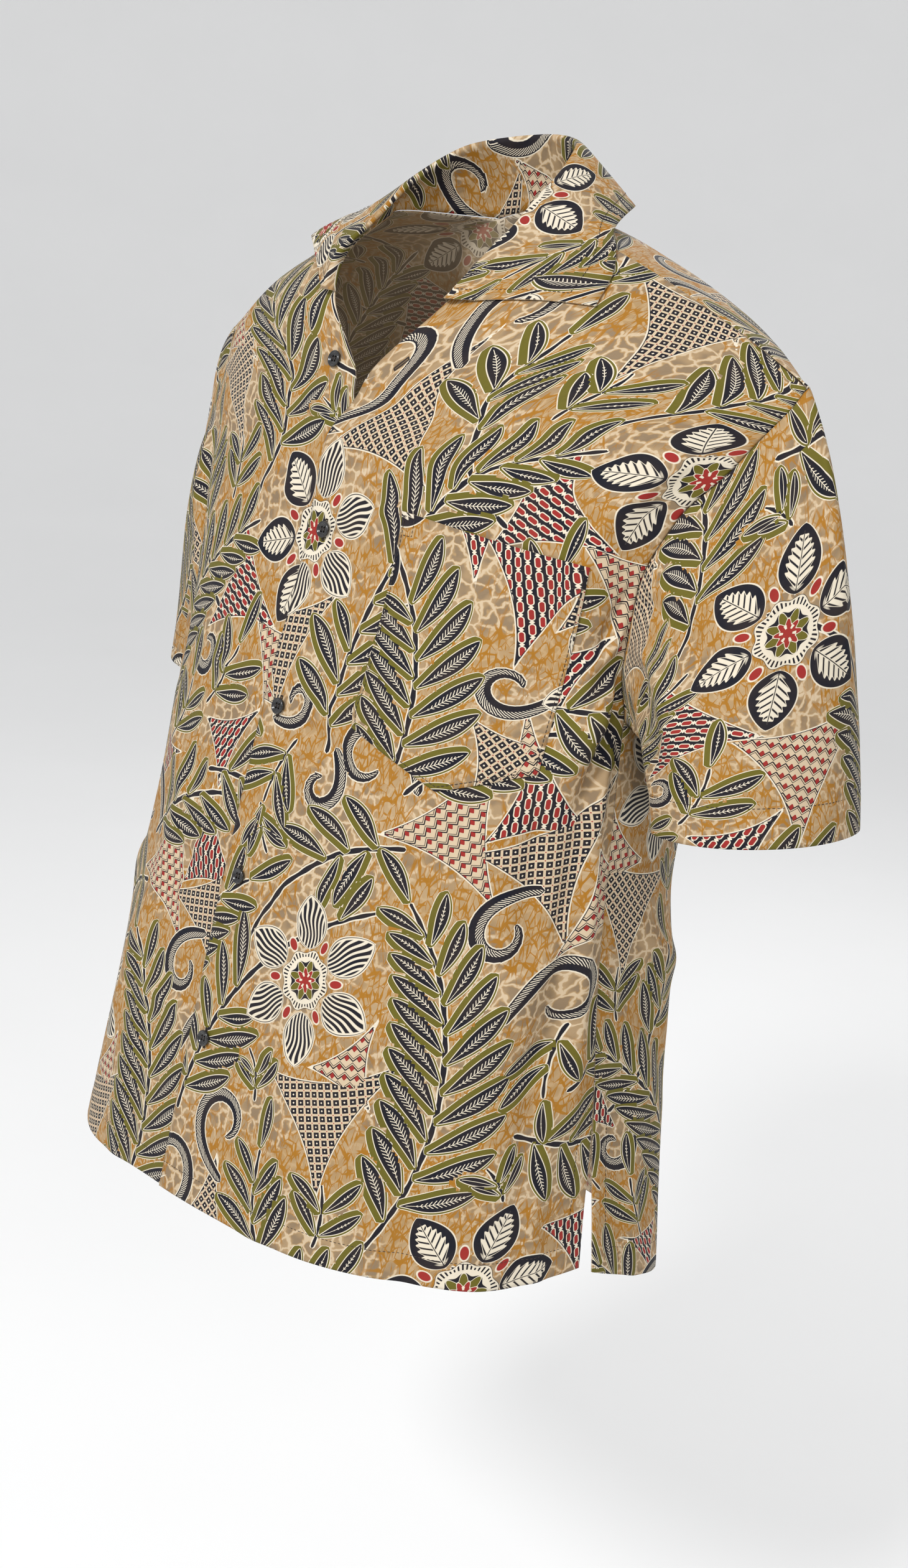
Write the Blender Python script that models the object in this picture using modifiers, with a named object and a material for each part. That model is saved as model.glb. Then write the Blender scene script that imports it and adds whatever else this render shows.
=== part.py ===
"""Short-sleeve shirt with an open collar, held in its worn form, hollow and open at every edge.

The cloth panels are lofts through rows of sections. Tables are in millimetres, the model in metres.
X points to the wearer's left, -Y to the front and +Z up. The origin is the middle of the neck opening.
"""
import math

import bmesh
import bpy
import numpy as np
from mathutils import Matrix

MM = 0.001
SHIRT_NAME = "short_sleeve_shirt"

# Cloth and seams: wall thickness, gap at a seam, and the extra step where the collar stands on a panel
CLOTH = 1.5
GAP = 0.3
COLLAR_STEP = 0.3

# The left front laps over the right one, which is set back under it
LAP = 17.0
LAP_ENDS = (518, 556)
LAP_TUCK = 1.95
LAP_FADE = (0.05, 0.30)
TUCK_ENDS = (550, 604)

# Whole form: how the shirt is turned on its wearer, and how far it swings to the right below the arms
SHOULDER_TURN = 0.06
SWING = 20.0
SWING_FROM = -262.0
SWING_OVER = 375.0
SWING_CURVE = 1.3
SWING_STILL = 216.0
SWING_EVEN = 617.0
HEM_SAG = 9.0

# Mesh steps across a panel, and steps up to each height. A sleeve starts on the rows of both panels.
FRONT_ACROSS = 20
FRONT_HEIGHTS = ((12, 375), (5, 526), (8, 675))
BACK_ACROSS = 16
BACK_HEIGHTS = ((12, 375), (4, 435), (7, 645), (5, 675))
SLEEVE_ROWS = 9
COLLAR_STEPS = (32, 12)
POCKET_STEPS = (8, 8)
BUTTON_SIDES = 20
HOLE_SIDES = 8

# A row is a section across half a panel. up: height along the cloth from the hem. in_*: its inner end,
# out_*: its outer end. turn: degrees that it has wrapped round at the outer end. full: how square it is.
# Columns: name, up, in_x, in_y, in_z, out_x, out_y, out_z, turn, full
FRONT_ROWS = (
    ("hem", 0, 0, -161, -634, 212, -7, -629, 90, 0.64),
    ("vent", 105, 0, -149, -530, 204, -4, -530, 90, 0.64),
    ("waist", 235, 0, -131, -400, 199, -9, -405, 90, 0.62),
    ("underarm", 375, 0, -106, -262, 197, -9, -262, 90, 0.60),
    ("armhole", 420, 0, -94, -218, 200, -18, -225, 78, 0.60),
    ("upper chest", 468, 0, -84, -170, 205, -18, -180, 70, 0.60),
    ("break", 526, 0, -75, -110, 215, 0, -134, 60, 0.60),
    ("lapel", 562, 5, -65, -76, 235, 14, -106, 54, 0.58),
    ("collar end", 612, 52, -46, -24, 251, 26, -80, 45, 0.55),
    ("neck side", 645, 70, -22, 6, 261, 32, -66, 26, 0.50),
    ("shoulder", 675, 75, 18, 34, 267, 36, -53, 8, 0.40),
)
BACK_ROWS = (
    ("hem", 0, 0, 172, -690, 212, -1, -635, 90, 0.62),
    ("vent", 105, 0, 166, -560, 204, -3, -530, 90, 0.60),
    ("waist", 235, 0, 160, -415, 199, -9, -405, 90, 0.60),
    ("underarm", 375, 0, 154, -262, 197, -9, -262, 90, 0.60),
    ("armhole", 420, 0, 151, -212, 206, 50, -222, 75, 0.60),
    ("blade", 480, 0, 146, -145, 213, 79, -165, 62, 0.60),
    ("upper back", 545, 0, 132, -74, 232, 80, -112, 48, 0.58),
    ("yoke", 605, 0, 110, 0, 252, 61, -78, 36, 0.52),
    ("back neck", 645, 0, 86, 48, 262, 47, -61, 24, 0.46),
)
SHOULDER_BEND = 0.12
SHOULDER_BEND_FROM = 420
HEM_BEND = 1.5
HEM_BEND_TO = 235
TOP = 675.0
UNDERARM = 375.0
VENT_TOP = 105.0
VENT_SPREAD = 3.5
BACK_NECK = 645.0
COLLAR_START = 614.0

# Back above the neck: flat share of the neckline, and how the cloth leaves it and meets the shoulder
NECK_SHARE = 0.125
NECK_WAY = (80, -22, -2)
RISE_REACH = 0.36
ARRIVE_REACH = 0.30

# Largest folds on a panel. Columns: name, u and up where it starts, u and up where it ends, half-width, height
FRONT_FOLDS = (
    ("armpit drag", 0.98, 430, 0.72, 300, 24, 5.5),
    ("chest drop", 0.80, 600, 0.78, 330, 28, 5.0),
    ("side flute", 0.74, 260, 0.70, -60, 30, 7.0),
    ("belly flute", 0.36, 220, 0.33, -60, 34, 5.0),
    ("lapel pull", 0.10, 520, 0.42, 640, 24, -3.5),
)
BACK_FOLDS = (
    ("armpit drag", 0.97, 440, 0.66, 300, 28, 6.0),
    ("blade drop", 0.60, 560, 0.55, 240, 34, 6.0),
    ("side flute", 0.72, 280, 0.70, -60, 34, 8.0),
    ("middle flute", 0.24, 300, 0.26, -60, 40, 6.0),
)
FOLD_SPAN = 230.0
SEAM_QUIET = (0.82, 0.95)
LAP_QUIET = (0.06, 0.16)

# Sleeves, left 1 and right -1. Columns: x, y, z of the middle of the open end, and x, y, z of the way in
# which it leaves the armhole over the shoulder. The right arm is held further back. After them the
# half-widths of the open end, its lean, and how both leave the armhole underneath.
SLEEVES = {
    1: (265, 42, -318, 0.45, 0.0, -0.72),
    -1: (257, 68, -318, 0.70, 0.0, -0.60),
}
CUFF_ACROSS = 58.0
CUFF_DEEP = 68.0
CUFF_YAW = 12.0
CUFF_TILT = 0.12
LEAVE_UNDER = (0.60, 0.0, -0.20)
UNDER_STEP = 2.8
ARRIVE_CUFF = (0.12, 0.0, -1.0)

# Collar stations from its front end past the middle of the back. Columns: name, share of the way to the
# middle of the back, x, y, z of the roll line, x, y, z of the outer edge
COLLAR_ROWS = (
    ("front end", 0.00, 60, -51, -20, 147, -12, -25),
    ("leaf", 0.16, 69, -30, 8, 139, 6, -6),
    ("leaf side", 0.28, 67, -9, 26, 130, 17, 10),
    ("shoulder", 0.42, 66, 18, 52, 116, 27, 26),
    ("back side", 0.72, 48, 60, 84, 80, 82, 48),
    ("back", 1.00, 0, 80, 92, 0, 112, 38),
    ("other side", 1.28, -48, 60, 84, -80, 82, 48),
)
STAND_SHARE = 0.36
ROLL_WIDTH = 4.0
FALL_CROWN = (0, 0, 3)
RIGHT_LEAF_LIFT = (-17, 6, 40)
LIFT_REACH = 0.62
NEAR_COLLAR = 520

# Pocket on the wearer's left chest: corners as distance from the front edge and height up the panel
POCKET_TOP = ((67, 490), (196, 480))
POCKET_BOTTOM = ((66, 350), (134, 322), (192, 341))
POCKET_RISE = 2.4

# Buttons
BUTTON_RADIUS = 5.6
BUTTON_THICK = 2.6
BUTTON_HOLE = 0.9
BUTTON_HOLE_SPREAD = 1.75
BUTTON_LIFT = 0.4
BUTTON_UPS = (467, 350, 233, 118)
TOP_BUTTON = (17, 575)
# Share of the radius and of the thickness, from the middle of the face to the middle of the underside
BUTTON_PROFILE = (
    (0, 0.62), (0.60, 0.62), (0.72, 0.92), (0.84, 1), (0.95, 0.86), (1, 0.55), (0.93, 0.2), (0.7, 0), (0, 0),
)

COLOURS = {
    "cloth": (0.62, 0.43, 0.22, 1.0),
    "trim": (0.50, 0.34, 0.18, 1.0),
    "button": (0.012, 0.012, 0.014, 1.0),
}


def material(name, colour, roughness):
    mat = bpy.data.materials.new(name)
    mat.use_nodes = True
    shader = mat.node_tree.nodes["Principled BSDF"]
    shader.inputs["Base Color"].default_value = colour
    shader.inputs["Roughness"].default_value = roughness
    shader.inputs["Metallic"].default_value = 0.0
    return mat


def glide(knots, values, at):
    """Smooth curve through a table column that never overshoots its values."""
    knots, values = np.asarray(knots, float), np.asarray(values, float)
    step = np.diff(knots)
    rise = np.diff(values) / step
    slope = np.zeros(len(values))
    slope[0], slope[-1] = rise[0], rise[-1]
    for i in range(1, len(values) - 1):
        if rise[i - 1] * rise[i] > 0:
            near, far = 2 * step[i] + step[i - 1], step[i] + 2 * step[i - 1]
            slope[i] = (near + far) / (near / rise[i - 1] + far / rise[i])
    k = np.clip(np.searchsorted(knots, at) - 1, 0, len(step) - 1)
    t = (at - knots[k]) / step[k]
    return hermite(values[k], step[k] * slope[k], values[k + 1], step[k] * slope[k + 1], t)


def hermite(start, leave, end, arrive, t):
    return (
        (1 + 2 * t) * (1 - t) ** 2 * start
        + t * (1 - t) ** 2 * leave
        + t * t * (3 - 2 * t) * end
        + t * t * (t - 1) * arrive
    )


def bezier(p0, p1, p2, p3, t):
    return (1 - t) ** 3 * p0 + 3 * t * (1 - t) ** 2 * p1 + 3 * t * t * (1 - t) * p2 + t ** 3 * p3


def smooth(low, high, value):
    t = np.clip((value - low) / (high - low), 0.0, 1.0)
    return t * t * (3 - 2 * t)


def unit(vectors):
    return vectors / np.maximum(np.linalg.norm(vectors, axis=-1, keepdims=True), 1e-9)


def read_rows(rows, at):
    """All number columns of a table after its knot column, read at the given knots."""
    knots = [row[1] for row in rows]
    return [glide(knots, [row[c] for row in rows], at) for c in range(2, len(rows[0]))]


def plain_panel(rows, u, up, low_bend=0.0):
    """Point of half a panel before folds: u is 0 at the middle or neckline, 1 at the outer edge."""
    mirror = np.where(u < 0, -1.0, 1.0)
    u = np.abs(u)
    in_x, in_y, in_z, out_x, out_y, out_z, turn, full = read_rows(rows, up)
    wide, deep = out_x - in_x, out_y - in_y
    mid_x2 = wide - full * np.abs(deep) / np.tan(np.radians(turn))
    x = in_x + mirror * bezier(0, full * wide, mid_x2, wide, u)
    y = bezier(in_y, in_y, out_y - full * deep, out_y, u)
    bend = 1 + SHOULDER_BEND * smooth(SHOULDER_BEND_FROM, TOP, up)
    bend = bend + low_bend * (1 - smooth(0, HEM_BEND_TO, up))
    return np.stack([x, y, in_z + (out_z - in_z) * u ** bend], -1)


def plain_front(u, up):
    return plain_panel(FRONT_ROWS, u, np.clip(up, 0, TOP))


def plain_back(u, up):
    """The back. Above the back of the neck u runs from the neckline to the armhole."""
    u, up = np.broadcast_arrays(u, up)
    low = plain_panel(BACK_ROWS, u, np.clip(up, 0, BACK_NECK), HEM_BEND)
    share = np.clip((up - BACK_NECK) / (TOP - BACK_NECK), 0, 1)[..., None]
    return np.where((up > BACK_NECK)[..., None], back_top(np.clip(u, 0, 1), share), low)


def back_top(u, share):
    """Back between the row at the back of the neck and the shoulder seam."""
    on_row = NECK_SHARE + (1 - NECK_SHARE) * u
    neck, top = np.full_like(u, BACK_NECK), np.full_like(u, TOP)
    row = plain_panel(BACK_ROWS, on_row, neck)
    rise = unit(row - plain_panel(BACK_ROWS, on_row, neck - 4))
    seam = plain_front(u, top)
    onward = unit(plain_front(u, top - 3) - seam)
    reach = np.linalg.norm(seam - row, axis=-1, keepdims=True)
    at_neck = (1 - smooth(0, 0.3, u))[..., None]
    leave = at_neck * np.array(NECK_WAY, float) + (1 - at_neck) * rise * reach * RISE_REACH
    return hermite(row, leave, seam, onward * reach * ARRIVE_REACH, share)


def outward(point, facing, u, up, split=TOP):
    """Outward direction of a panel. Rows above the split height are laid out apart from those below."""
    low = np.where(up <= split, up - 2, np.maximum(up - 2, split + 0.001))
    high = np.where(up <= split, np.minimum(up + 2, split), up + 2)
    du = point(np.minimum(u + 0.004, 1), up) - point(u - 0.004, up)
    return facing * unit(np.cross(du, point(u, high) - point(u, low)))


def front_out(u, up):
    return outward(plain_front, 1.0, u, up)


def back_out(u, up):
    inside = np.where(up > BACK_NECK, np.maximum(u, 0.004), u)
    return outward(plain_back, -1.0, inside, up, BACK_NECK)


def fold_height(folds, u, up):
    """Sum of soft ridges, each a bell across its line that fades at both ends."""
    total = np.zeros(np.broadcast(u, up).shape)
    for _, u0, up0, u1, up1, width, height in folds:
        along = (up - up0) / (up1 - up0)
        across = (u - u0 - (u1 - u0) * along) * FOLD_SPAN / width
        fade = smooth(0.0, 0.25, along) * (1 - smooth(0.8, 1.0, along))
        total = total + height * fade * np.exp(-across * across)
    return total * (1 - smooth(*SEAM_QUIET, u)) * smooth(*LAP_QUIET, np.abs(u))


def place(points, side):
    """Put a point of the wearer's left half on its side, with the shirt's turn, swing and sag."""
    x, y, z = np.moveaxis(np.array(points, float), -1, 0)
    drop = np.clip((SWING_FROM - z) / SWING_OVER, 0, 1) ** SWING_CURVE
    x = side * x
    x = x - SWING * drop * (1 - x / SWING_STILL) * (1 + x / SWING_EVEN)
    sag = HEM_SAG * drop * smooth(0, SWING_STILL, -x)
    return np.stack([x, y + SHOULDER_TURN * x, z - sag], -1)


def front(side, u, up):
    height = fold_height(FRONT_FOLDS, u, up)
    points = place(plain_front(u, up) + front_out(u, up) * height[..., None], side)
    if side < 0:
        points[..., 1] += LAP_TUCK * (1 - smooth(*LAP_FADE, u)) * (1 - smooth(*TUCK_ENDS, up))
    return points


def back(side, u, up):
    height = fold_height(BACK_FOLDS, u, up)
    return place(plain_back(u, up) + back_out(u, up) * height[..., None], side)


def by_length(edge, carried, at):
    """Points of an edge, and what it carries, at shares of its length."""
    run = np.r_[0, np.cumsum(np.linalg.norm(np.diff(edge, axis=0), axis=1))]
    return [np.stack([np.interp(at, run / run[-1], c[:, k]) for k in range(3)], -1) for c in (edge, carried)]


def armhole(a):
    """Armhole seam and the body's outward direction there. a is 0 at the underarm, 0.25 in front,
    0.5 on the shoulder and 0.75 behind."""
    ups = np.linspace(UNDERARM, TOP, 160)
    ones = np.ones_like(ups)
    fore = by_length(plain_front(ones, ups), front_out(ones, ups), np.clip(2 * a, 0, 1))
    rear = by_length(plain_back(ones, ups), back_out(ones, ups), np.clip(2 - 2 * a, 0, 1))
    in_front = (a <= 0.5)[..., None]
    return [np.where(in_front, f, r) for f, r in zip(fore, rear)]


def sleeve(side, a, t):
    """Point of a sleeve: a round the arm as on the armhole, t from the seam to the open end."""
    seam, body_out = armhole(a)
    cuff, leave_over = np.array(SLEEVES[side][:3], float), np.array(SLEEVES[side][3:])
    over = ((1 - np.cos(2 * np.pi * a)) / 2)[..., None]
    way = (1 - over) * np.array(LEAVE_UNDER) + over * leave_over
    lean = smooth(0.0, 0.35, (unit(way) * body_out).sum(-1))[..., None]
    start = seam + lean * UNDER_STEP * body_out + (1 - lean) * GAP * unit(way)
    across = -np.cos(2 * np.pi * a) * CUFF_ACROSS
    deep = -np.sin(2 * np.pi * a) * CUFF_DEEP
    yaw = math.radians(CUFF_YAW)
    end = cuff + np.stack([
        across * math.cos(yaw) - deep * math.sin(yaw),
        across * math.sin(yaw) + deep * math.cos(yaw),
        CUFF_TILT * across,
    ], -1)
    reach = np.linalg.norm(end - start, axis=-1, keepdims=True)
    return place(hermite(start, way * reach, end, np.array(ARRIVE_CUFF) * reach, t[..., None]), side)


def neckline(along):
    """Neck seam of the left half, from the collar's front end to the middle of the back."""
    fore_up = np.linspace(COLLAR_START, TOP, 60)
    rear_up = np.linspace(TOP, BACK_NECK + 0.01, 60)
    flat_u = np.linspace(NECK_SHARE, 0, 12)
    zero, neck = np.zeros(60), np.full(12, BACK_NECK)
    edge = [plain_front(zero, fore_up), plain_back(zero, rear_up), plain_back(flat_u, neck)]
    out = [front_out(zero + 0.01, fore_up), back_out(zero + 0.01, rear_up), back_out(flat_u + 0.01, neck)]
    seam, body_out = by_length(np.concatenate(edge), np.concatenate(out), along)
    return seam + body_out * (CLOTH + GAP + COLLAR_STEP)


def body_samples():
    """Points of the left half of the body near the collar, with their outward directions."""
    u, up = np.meshgrid(np.linspace(0, 1, 60), np.linspace(NEAR_COLLAR, TOP, 70), indexing="ij")
    spots = np.concatenate([plain_front(u, up).reshape(-1, 3), plain_back(u, up).reshape(-1, 3)])
    outs = np.concatenate([front_out(u, up).reshape(-1, 3), back_out(u, up).reshape(-1, 3)])
    return spots, outs


def keep_off(points, need):
    """Push points out until they are at least need away from the body's inner face."""
    spots, outs = body_samples()
    flat = points.reshape(-1, 3).copy()
    for _ in range(3):
        nearest = np.array([np.argmin(((spots - p) ** 2).sum(1)) for p in flat])
        away = ((flat - spots[nearest]) * outs[nearest]).sum(1)
        flat += outs[nearest] * np.maximum(need - away, 0)[:, None]
    return flat.reshape(points.shape)


def collar(c, b):
    """Point of the collar. c runs from -1 at the right leaf to 1 at the left one, b from the seam
    at 0 over the roll line to the outer edge at 1."""
    along = 1 - np.abs(c)
    values = read_rows(COLLAR_ROWS, along)
    seam = neckline(along)
    roll, edge = np.stack(values[:3], -1), np.stack(values[3:], -1)
    lifted = (c < 0) * (1 - smooth(0.0, LIFT_REACH, along))
    edge = edge + lifted[..., None] * np.array(RIGHT_LEAF_LIFT, float)
    out = unit((edge - roll) * np.array([1, 1, 0]))
    rise = (roll - seam) * np.array([0, 0, 1])
    t_stand = np.clip(b / STAND_SHARE, 0, 1)[..., None]
    t_fall = np.clip((b - STAND_SHARE) / (1 - STAND_SHARE), 0, 1)[..., None]
    stand = bezier(seam, seam + 0.6 * rise, roll - ROLL_WIDTH * out, roll, t_stand)
    crown = roll + 0.4 * (edge - roll) + np.array(FALL_CROWN)
    fall = bezier(roll, roll + ROLL_WIDTH * out, crown, edge, t_fall)
    points = keep_off(np.where((b < STAND_SHARE)[..., None], stand, fall), CLOTH + GAP + COLLAR_STEP)
    return mirror_collar(points, c)


def mirror_collar(points, c):
    x, y, z = np.moveaxis(points, -1, 0)
    x = np.where(c < 0, -x, x)
    return np.stack([x, y + SHOULDER_TURN * x, z], -1)


def lap_share(up):
    """How far past the middle a front reaches, as a share of its width."""
    span = np.linalg.norm(plain_front(0 * up + 0.02, up) - plain_front(0 * up, up), axis=-1) / 0.02
    return LAP * (1 - smooth(*LAP_ENDS, up)) / span


def outer_share(point, up):
    """Share of the width at which a panel ends: half a gap from its seam, more along the vent."""
    ones = np.ones_like(up)
    span = np.linalg.norm(point(ones, up) - point(ones - 0.01, up), axis=-1) / 0.01
    return 1 - (GAP / 2 + VENT_SPREAD * (1 - smooth(0, VENT_TOP, up))) / span


def below_shoulder(point, u):
    """Height at which a panel ends, half a gap from the shoulder seam."""
    top = np.full_like(u, TOP)
    return TOP - GAP / 2 / np.linalg.norm(point(u, top) - point(u, top - 1), axis=-1)


def row_heights(table):
    heights, last = [0.0], 0.0
    for steps, height in table:
        heights += list(np.linspace(last, height, steps + 1)[1:])
        last = height
    return np.array(heights)


def edge_share(point, heights):
    """Share of the armhole edge's length, from the underarm up, at the given heights."""
    ups = np.linspace(UNDERARM, TOP, 160)
    edge = point(np.ones_like(ups), ups)
    run = np.r_[0, np.cumsum(np.linalg.norm(np.diff(edge, axis=0), axis=1))]
    return np.interp(heights, ups, run / run[-1])


def lay_grid(sheet, verts, flip):
    for near, far in zip(verts, verts[1:]):
        for j in range(len(near) - 1):
            corners = [near[j], far[j], far[j + 1], near[j + 1]]
            sheet.faces.new(corners[::-1] if flip else corners)


def add_points(sheet, points):
    return [[sheet.verts.new(p * MM) for p in row] for row in points]


def make_wall(name, sheet, mat):
    """An object from an open sheet, made a wall by Solidify."""
    bmesh.ops.remove_doubles(sheet, verts=sheet.verts, dist=1e-6)
    mesh = bpy.data.meshes.new(name)
    sheet.to_mesh(mesh)
    sheet.free()
    mesh.materials.append(mat)
    mesh.shade_smooth()
    obj = bpy.data.objects.new(name, mesh)
    wall = obj.modifiers.new("wall", "SOLIDIFY")
    wall.thickness = CLOTH * MM
    wall.offset = 1.0
    return obj


def build_front(name, side, mat):
    g, up = np.meshgrid(np.linspace(0, 1, FRONT_ACROSS + 1), row_heights(FRONT_HEIGHTS), indexing="ij")
    lap = lap_share(up)
    u = (outer_share(plain_front, up) + lap) * g - lap
    up[:, -1] = below_shoulder(plain_front, u[:, -1])
    sheet = bmesh.new()
    lay_grid(sheet, add_points(sheet, front(side, u, up)), side < 0)
    return make_wall(name, sheet, mat)


def build_back(name, mat):
    """Two halves joined down the middle, below the neckline."""
    heights = row_heights(BACK_HEIGHTS)
    skipped = round(NECK_SHARE * BACK_ACROSS)
    sheet = bmesh.new()
    for side in (1, -1):
        shares = np.linspace(0, 1, BACK_ACROSS + 1)
        g, up = np.meshgrid(shares, heights[heights <= BACK_NECK], indexing="ij")
        lower = add_points(sheet, back(side, g * outer_share(plain_back, up), up))
        shares = np.linspace(0, 1, BACK_ACROSS - skipped + 1)
        g, up = np.meshgrid(shares, heights[heights > BACK_NECK], indexing="ij")
        u = g * outer_share(plain_back, up)
        up[:, -1] = below_shoulder(plain_back, u[:, -1])
        upper = add_points(sheet, back(side, u, up))
        upper = [[below[-1]] + above for below, above in zip(lower[skipped:], upper)]
        lay_grid(sheet, lower, side > 0)
        lay_grid(sheet, upper, side > 0)
    return make_wall(name, sheet, mat)


def build_sleeve(name, side, mat):
    fore, rear = (row_heights(table) for table in (FRONT_HEIGHTS, BACK_HEIGHTS))
    fore, rear = fore[fore >= UNDERARM], rear[(rear > UNDERARM) & (rear < TOP)]
    round_arm = np.r_[edge_share(plain_front, fore) / 2, 1 - edge_share(plain_back, rear[::-1]) / 2]
    a, t = np.meshgrid(round_arm, np.linspace(0, 1, SLEEVE_ROWS + 1), indexing="ij")
    sheet = bmesh.new()
    verts = add_points(sheet, sleeve(side, a, t))
    lay_grid(sheet, verts + verts[:1], side > 0)
    return make_wall(name, sheet, mat)


def build_collar(name, mat):
    steps_along, steps_wide = COLLAR_STEPS
    c, b = np.meshgrid(
        np.linspace(1, -1, steps_along + 1), np.linspace(0, 1, steps_wide + 1), indexing="ij"
    )
    sheet = bmesh.new()
    lay_grid(sheet, add_points(sheet, collar(c, b)), True)
    return make_wall(name, sheet, mat)


def chest_share(across, up):
    """Share of the front's width at across millimetres from its inner edge."""
    shares = np.linspace(0, 1, 80)
    row = plain_front(shares, np.full(80, float(up)))
    run = np.r_[0, np.cumsum(np.linalg.norm(np.diff(row, axis=0), axis=1))]
    return np.interp(across, run, shares)


def on_front(side, across, up, rise):
    """Point on a front, across mm from the edge and up mm from the hem, moved out by rise mm."""
    u, ups = np.array([chest_share(across, up)]), np.array([float(up)])
    spot = front(side, u, ups)[0]
    du = front(side, u + 0.01, ups)[0] - front(side, u - 0.01, ups)[0]
    dup = front(side, u, ups + 2)[0] - front(side, u, ups - 2)[0]
    normal = side * unit(np.cross(du, dup))
    return spot + rise * normal, normal


def build_pocket(name, mat):
    """Patch pocket on the left front: its lower edge comes to a point."""
    steps_across, steps_up = POCKET_STEPS
    (left_x, left_up), (right_x, right_up) = POCKET_TOP
    bottom = np.array(POCKET_BOTTOM, float)
    points = np.zeros((steps_across + 1, steps_up + 1, 3))
    for i, share in enumerate(np.linspace(0, 1, steps_across + 1)):
        low_x = bottom[0, 0] + (bottom[-1, 0] - bottom[0, 0]) * share
        low = np.array([low_x, np.interp(low_x, bottom[:, 0], bottom[:, 1])])
        top = np.array([left_x + (right_x - left_x) * share, left_up + (right_up - left_up) * share])
        for j, rise in enumerate(np.linspace(0, 1, steps_up + 1)):
            across, up = low + (top - low) * rise
            points[i, j] = on_front(1, across, up, POCKET_RISE)[0]
    sheet = bmesh.new()
    lay_grid(sheet, add_points(sheet, points), False)
    return make_wall(name, sheet, mat)


def hole_cutter(name, spot):
    rod = bmesh.new()
    radius = BUTTON_HOLE * MM
    bmesh.ops.create_cone(rod, cap_ends=True, segments=HOLE_SIDES, radius1=radius, radius2=radius, depth=0.01)
    bmesh.ops.translate(rod, verts=rod.verts, vec=spot)
    mesh = bpy.data.meshes.new(name)
    rod.to_mesh(mesh)
    rod.free()
    obj = bpy.data.objects.new(name, mesh)
    obj.hide_render = True
    obj.display_type = "WIRE"
    return obj


def frame_on(centre, normal):
    """Placing matrix at a point in mm with its Z axis along the normal."""
    z = unit(np.array(normal, float))
    x = unit(np.cross([0, 0, 1], z))
    turned = Matrix([x, np.cross(z, x), z]).transposed().to_4x4()
    return Matrix.Translation(centre * MM) @ turned


def build_button(name, centre, normal, mat, cutters):
    """A turned disc with four thread holes, its axis on the cloth's normal."""
    points = [(BUTTON_RADIUS * MM * r, 0, BUTTON_THICK * MM * h) for r, h in BUTTON_PROFILE]
    profile = bpy.data.meshes.new(name)
    profile.from_pydata(points, [(i, i + 1) for i in range(len(points) - 1)], [])
    profile.materials.append(mat)
    obj = bpy.data.objects.new(name, profile)
    turn = obj.modifiers.new("turn", "SCREW")
    turn.steps = turn.render_steps = BUTTON_SIDES
    turn.use_merge_vertices = True
    turn.merge_threshold = 0.00001
    for k in range(4):
        angle = math.radians(45 + 90 * k)
        reach = BUTTON_HOLE_SPREAD * MM
        cutter = hole_cutter(f"{name}_hole_{k + 1}", (reach * math.cos(angle), reach * math.sin(angle), 0))
        cutter.parent = obj
        cutters.objects.link(cutter)
        cut = obj.modifiers.new(f"hole_{k + 1}", "BOOLEAN")
        cut.operation = "DIFFERENCE"
        cut.solver = "EXACT"
        cut.object = cutter
    obj.matrix_world = frame_on(centre, normal)
    return obj


def build():
    for obj in list(bpy.data.objects):
        bpy.data.objects.remove(obj, do_unlink=True)
    shirt = bpy.data.collections.new(SHIRT_NAME)
    cutters = bpy.data.collections.new("cutters")
    for group in (shirt, cutters):
        bpy.context.scene.collection.children.link(group)
    cloth = material("printed_cotton", COLOURS["cloth"], 0.8)
    trim = material("printed_cotton_trim", COLOURS["trim"], 0.8)
    plastic = material("button_plastic", COLOURS["button"], 0.25)
    pieces = [
        build_front("front_left", 1, cloth),
        build_front("front_right", -1, cloth),
        build_back("back", cloth),
        build_sleeve("sleeve_left", 1, cloth),
        build_sleeve("sleeve_right", -1, cloth),
        build_collar("collar", trim),
        build_pocket("pocket", trim),
    ]
    spots = [on_front(-1, *TOP_BUTTON, CLOTH + BUTTON_LIFT)]
    spots += [on_front(1, 0, up, CLOTH + BUTTON_LIFT) for up in BUTTON_UPS]
    for k, (centre, normal) in enumerate(spots):
        pieces.append(build_button(f"button_{k + 1}", centre, normal, plastic, cutters))
    for piece in pieces:
        shirt.objects.link(piece)


build()
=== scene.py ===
"""Looks of a short-sleeve printed cotton shirt with an open collar, in its worn form.

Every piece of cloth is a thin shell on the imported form, cut from one printed cloth with a repeat.
Tables of the form and of the print are in millimetres. X points to the wearer's left, -Y to the front.
"""

import math

import bmesh
import bpy
import numpy as np
from mathutils import Matrix
from mathutils.kdtree import KDTree


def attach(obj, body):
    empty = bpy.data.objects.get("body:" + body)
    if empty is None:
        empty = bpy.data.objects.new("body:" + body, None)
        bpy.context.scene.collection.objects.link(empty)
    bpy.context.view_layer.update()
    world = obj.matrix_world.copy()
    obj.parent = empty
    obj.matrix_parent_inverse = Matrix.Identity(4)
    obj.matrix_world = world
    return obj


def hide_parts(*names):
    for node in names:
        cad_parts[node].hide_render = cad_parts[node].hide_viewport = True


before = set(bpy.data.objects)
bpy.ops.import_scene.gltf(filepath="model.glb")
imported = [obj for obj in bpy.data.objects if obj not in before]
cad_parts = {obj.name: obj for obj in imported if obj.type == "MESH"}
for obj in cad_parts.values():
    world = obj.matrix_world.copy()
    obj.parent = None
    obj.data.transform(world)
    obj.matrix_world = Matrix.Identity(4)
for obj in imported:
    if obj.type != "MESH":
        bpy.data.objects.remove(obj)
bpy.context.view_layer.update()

MM = 0.001
CLOTH = 1.5
SHELL = 0.8
GAP = 0.3
COLLAR_STEP = 0.3
LAP = 17.0
LAP_ENDS = (518, 556)
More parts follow.
